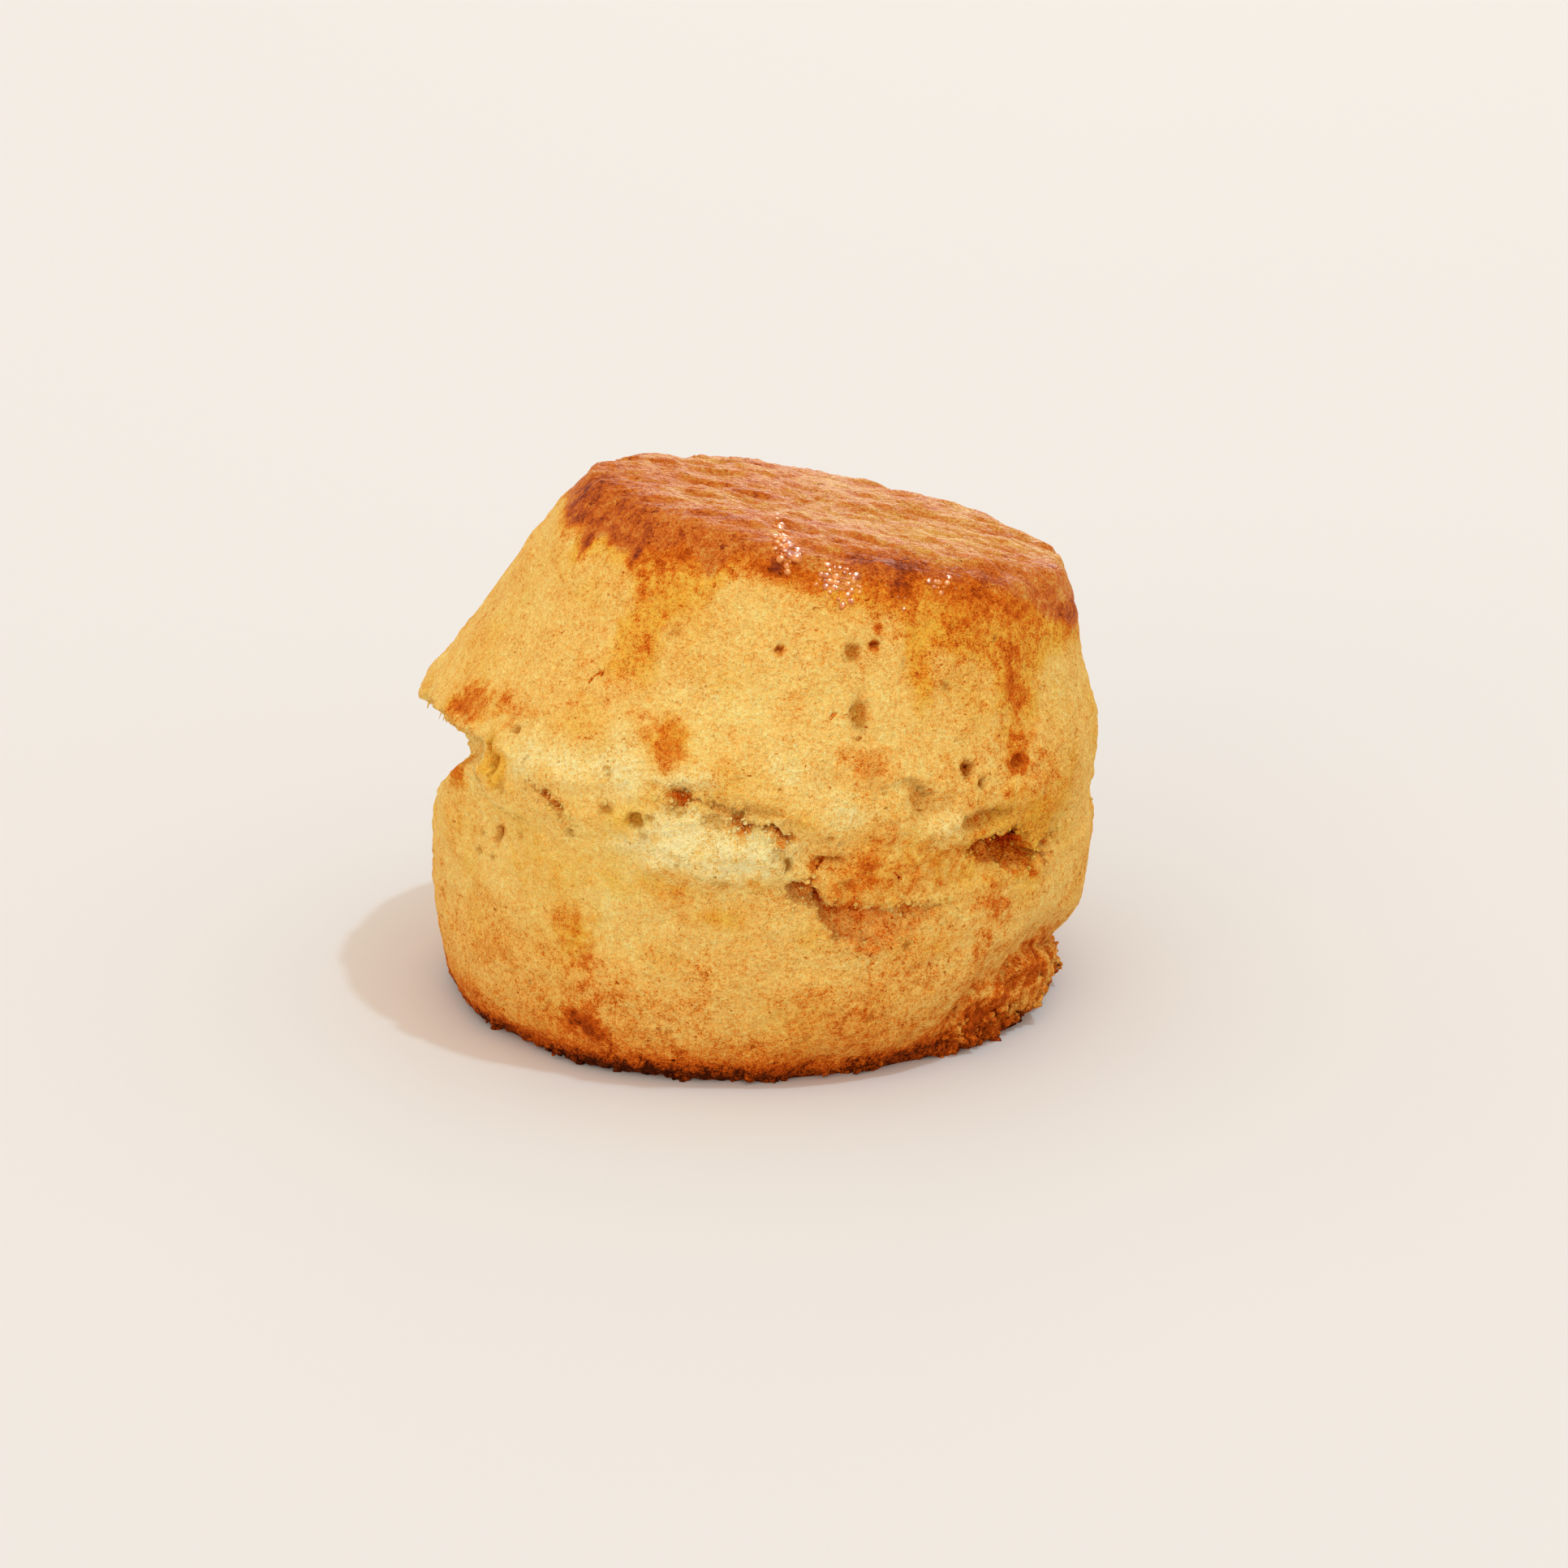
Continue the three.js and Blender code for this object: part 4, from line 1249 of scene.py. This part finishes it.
def baked_scone_dough():
    """Baked scone dough: matt and slightly translucent. The eye knows it by its sandy grain, pits
    and flaky edges, golden where dry, pale where torn, and by the egg wash that ran over the rim
    and baked to a glossy orange-brown with a speckled, feathered edge."""
    material, tree = new_material("baked_scone_dough")
    at = tree.nodes.new("ShaderNodeTexCoord").outputs["Object"]
    flat = add(tree, "ShaderNodeVectorMath", {0: at, 1: (1.0, 1.0, 1.8)}, operation="MULTIPLY")
    field = read_fields(tree)
    noise = noise_bands(tree, at)
    look = {**noise, **ragged_masks(tree, field, noise), **crumb_holes(tree, flat, noise)}
    # Pores show only in crumb; inside is the painted shade in rips, the rip's mask times its field of
    # shade.
    for name, whole, share in (
        ("pores", look["pores"], look["crumb"]), ("inside", look["gap"], field["hollow"]),
    ):
        look[name] = add(tree, "ShaderNodeMath", {0: whole, 1: share}, operation="MULTIPLY")
    look["crack"] = hairline_cracks(tree, field, noise)
    look["flake"], look["flake_edge_shadow"] = flaky_layers(tree, flat, noise)
    look["streak"] = wash_streaks(tree, at)
    facing = crust_relief(tree, look)
    sheen = add(tree, "ShaderNodeMath", {0: look["wash"], 1: 0.14}, operation="MULTIPLY")
    roughness = add(tree, "ShaderNodeMapRange", {"Value": look["wash"], "To Min": 0.85, "To Max": 0.6})
    shader = add(tree, "ShaderNodeBsdfPrincipled", {
        "Base Color": crust_colour(tree, field, look),
        "Roughness": roughness,
        "IOR": 1.45,
        "Specular IOR Level": 0.04,
        "Coat Weight": sheen,
        "Coat Roughness": 0.42,
        "Coat IOR": 1.45,
        "Subsurface Weight": 0.12,
        "Subsurface Radius": (1.0, 0.45, 0.15),
        "Subsurface Scale": 0.8 * MM,
        "Normal": facing,
        "Coat Normal": facing,
    })
    add(tree, "ShaderNodeOutputMaterial", {"Surface": shader})
    return material


def egg_wash_bubble():
    """Bubbles of egg wash that baked hard: amber, smooth and clear enough to catch sharp lights."""
    material, tree = new_material("baked_egg_wash_bubbles")
    at = tree.nodes.new("ShaderNodeTexCoord").outputs["Object"]
    noise = add(tree, "ShaderNodeTexNoise", {"Vector": at, "Scale": 1 / (0.8 * MM)})
    amber = add(tree, "ShaderNodeValToRGB", {"Fac": noise}, stops=(
        (0.3, "#a44a14"), (0.5, "#cc7426"), (0.7, "#e8a048"),
    ))
    shader = add(tree, "ShaderNodeBsdfPrincipled", {
        "Base Color": amber, "Roughness": 0.5, "IOR": 1.4, "Specular IOR Level": 0.1,
        "Coat Weight": 1.0, "Coat Roughness": 0.05, "Coat IOR": 1.5,
    })
    add(tree, "ShaderNodeOutputMaterial", {"Surface": shader})
    return material


def matt_paper_floor():
    """Seamless warm white paper: quite matt, an even pale tone with no visible texture."""
    material, tree = new_material("matt_backdrop_paper")
    shader = add(tree, "ShaderNodeBsdfPrincipled", {
        "Base Color": linear("#dcdad7"), "Roughness": 0.9, "Specular IOR Level": 0.1,
    })
    add(tree, "ShaderNodeOutputMaterial", {"Surface": shader})
    return material


# ---------------------------------------------------------------- the studio
FLOOR_HALF = 4000.0
CAMERA_AIM = (2.4, 0.0, 19.0)
CAMERA_DISTANCE = 418.0
CAMERA_ELEVATION = 19.0
CAMERA_LENS = 100.0
KEY_DIRECTION = (0.31, -0.17, 1.0)  # from the scone towards the key light
# Lights: direction from the scone, strength, colour, degrees across.
LIGHTS = {
    "key": (KEY_DIRECTION, 0.8, (0.5, 0.8, 1.0), 2.5),
    "window": ((0.1, 1.0, 0.2), 1.0, (1.0, 0.98, 0.88), 20.0),
    "fill": ((-0.5, -0.85, 0.2), 0.6, (1.0, 0.88, 0.72), 40.0),
    "lamp": (KEY_DIRECTION, 45.0, (1.0, 0.97, 0.92), 3.0),
}
ALL_ROUND = ((0.97, 0.86, 0.77, 1.0), 1.1)  # colour and strength of the light from all round


def make_floor():
    """A flat square of paper under the scone."""
    corners = np.array([(-1, -1, 0), (1, -1, 0), (1, 1, 0), (-1, 1, 0)]) * FLOOR_HALF
    make_piece("floor", corners, [(0, 1, 2, 3)], {}, matt_paper_floor())


def make_camera():
    """A long lens at a low angle in front of the scone."""
    camera = bpy.data.objects.new("camera", bpy.data.cameras.new("camera"))
    camera.data.lens = CAMERA_LENS
    camera.data.clip_end = 50.0
    angle = np.radians(CAMERA_ELEVATION)
    back = Vector((0.0, -np.cos(angle), np.sin(angle)))
    camera.location = (Vector(CAMERA_AIM) + back * CAMERA_DISTANCE) * MM
    camera.rotation_euler = back.to_track_quat("Z", "Y").to_euler()
    bpy.context.collection.objects.link(camera)
    bpy.context.scene.camera = camera


def make_sun(name, direction, energy, colour, angle):
    """A light from far off in the given direction, angle degrees across."""
    sun = bpy.data.objects.new(name, bpy.data.lights.new(name, "SUN"))
    sun.data.energy = energy
    sun.data.color = colour
    sun.data.angle = np.radians(angle)
    sun.rotation_euler = Vector(direction).to_track_quat("Z", "Y").to_euler()
    bpy.context.collection.objects.link(sun)
    return sun


def make_lights(glossy):
    """A crisp cool key from above right, a wide warm fill from the front left, warm light from all
    round, and two reflections that only gloss shows: a window behind, and a small lamp above that
    lights the glossy pieces."""
    lights = {name: make_sun(name, *light) for name, light in LIGHTS.items()}
    for name in ("window", "lamp"):
        lights[name].visible_diffuse = False
    receivers = bpy.data.collections.new("glossy")
    for piece in glossy:
        receivers.objects.link(piece)
    lights["lamp"].light_linking.receiver_collection = receivers

    world = bpy.data.worlds.new("studio")
    bpy.context.scene.world = world
    world.use_nodes = True
    world.node_tree.nodes.clear()
    colour, strength = ALL_ROUND
    light = add(world.node_tree, "ShaderNodeBackground", {"Color": colour, "Strength": strength})
    add(world.node_tree, "ShaderNodeOutputWorld", {"Surface": light})
    bpy.context.scene.view_settings.view_transform = "Standard"


# ---------------------------------------------------------------- the scene
make_camera()
make_floor()
dough = baked_scone_dough()
whole, skin, marks = make_skin(dough)
stuck = stick_on(skin, marks, dough, egg_wash_bubble())
for piece in (whole, *stuck):
    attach(piece, "root")
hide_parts("scone")
make_lights(stuck[-2:])
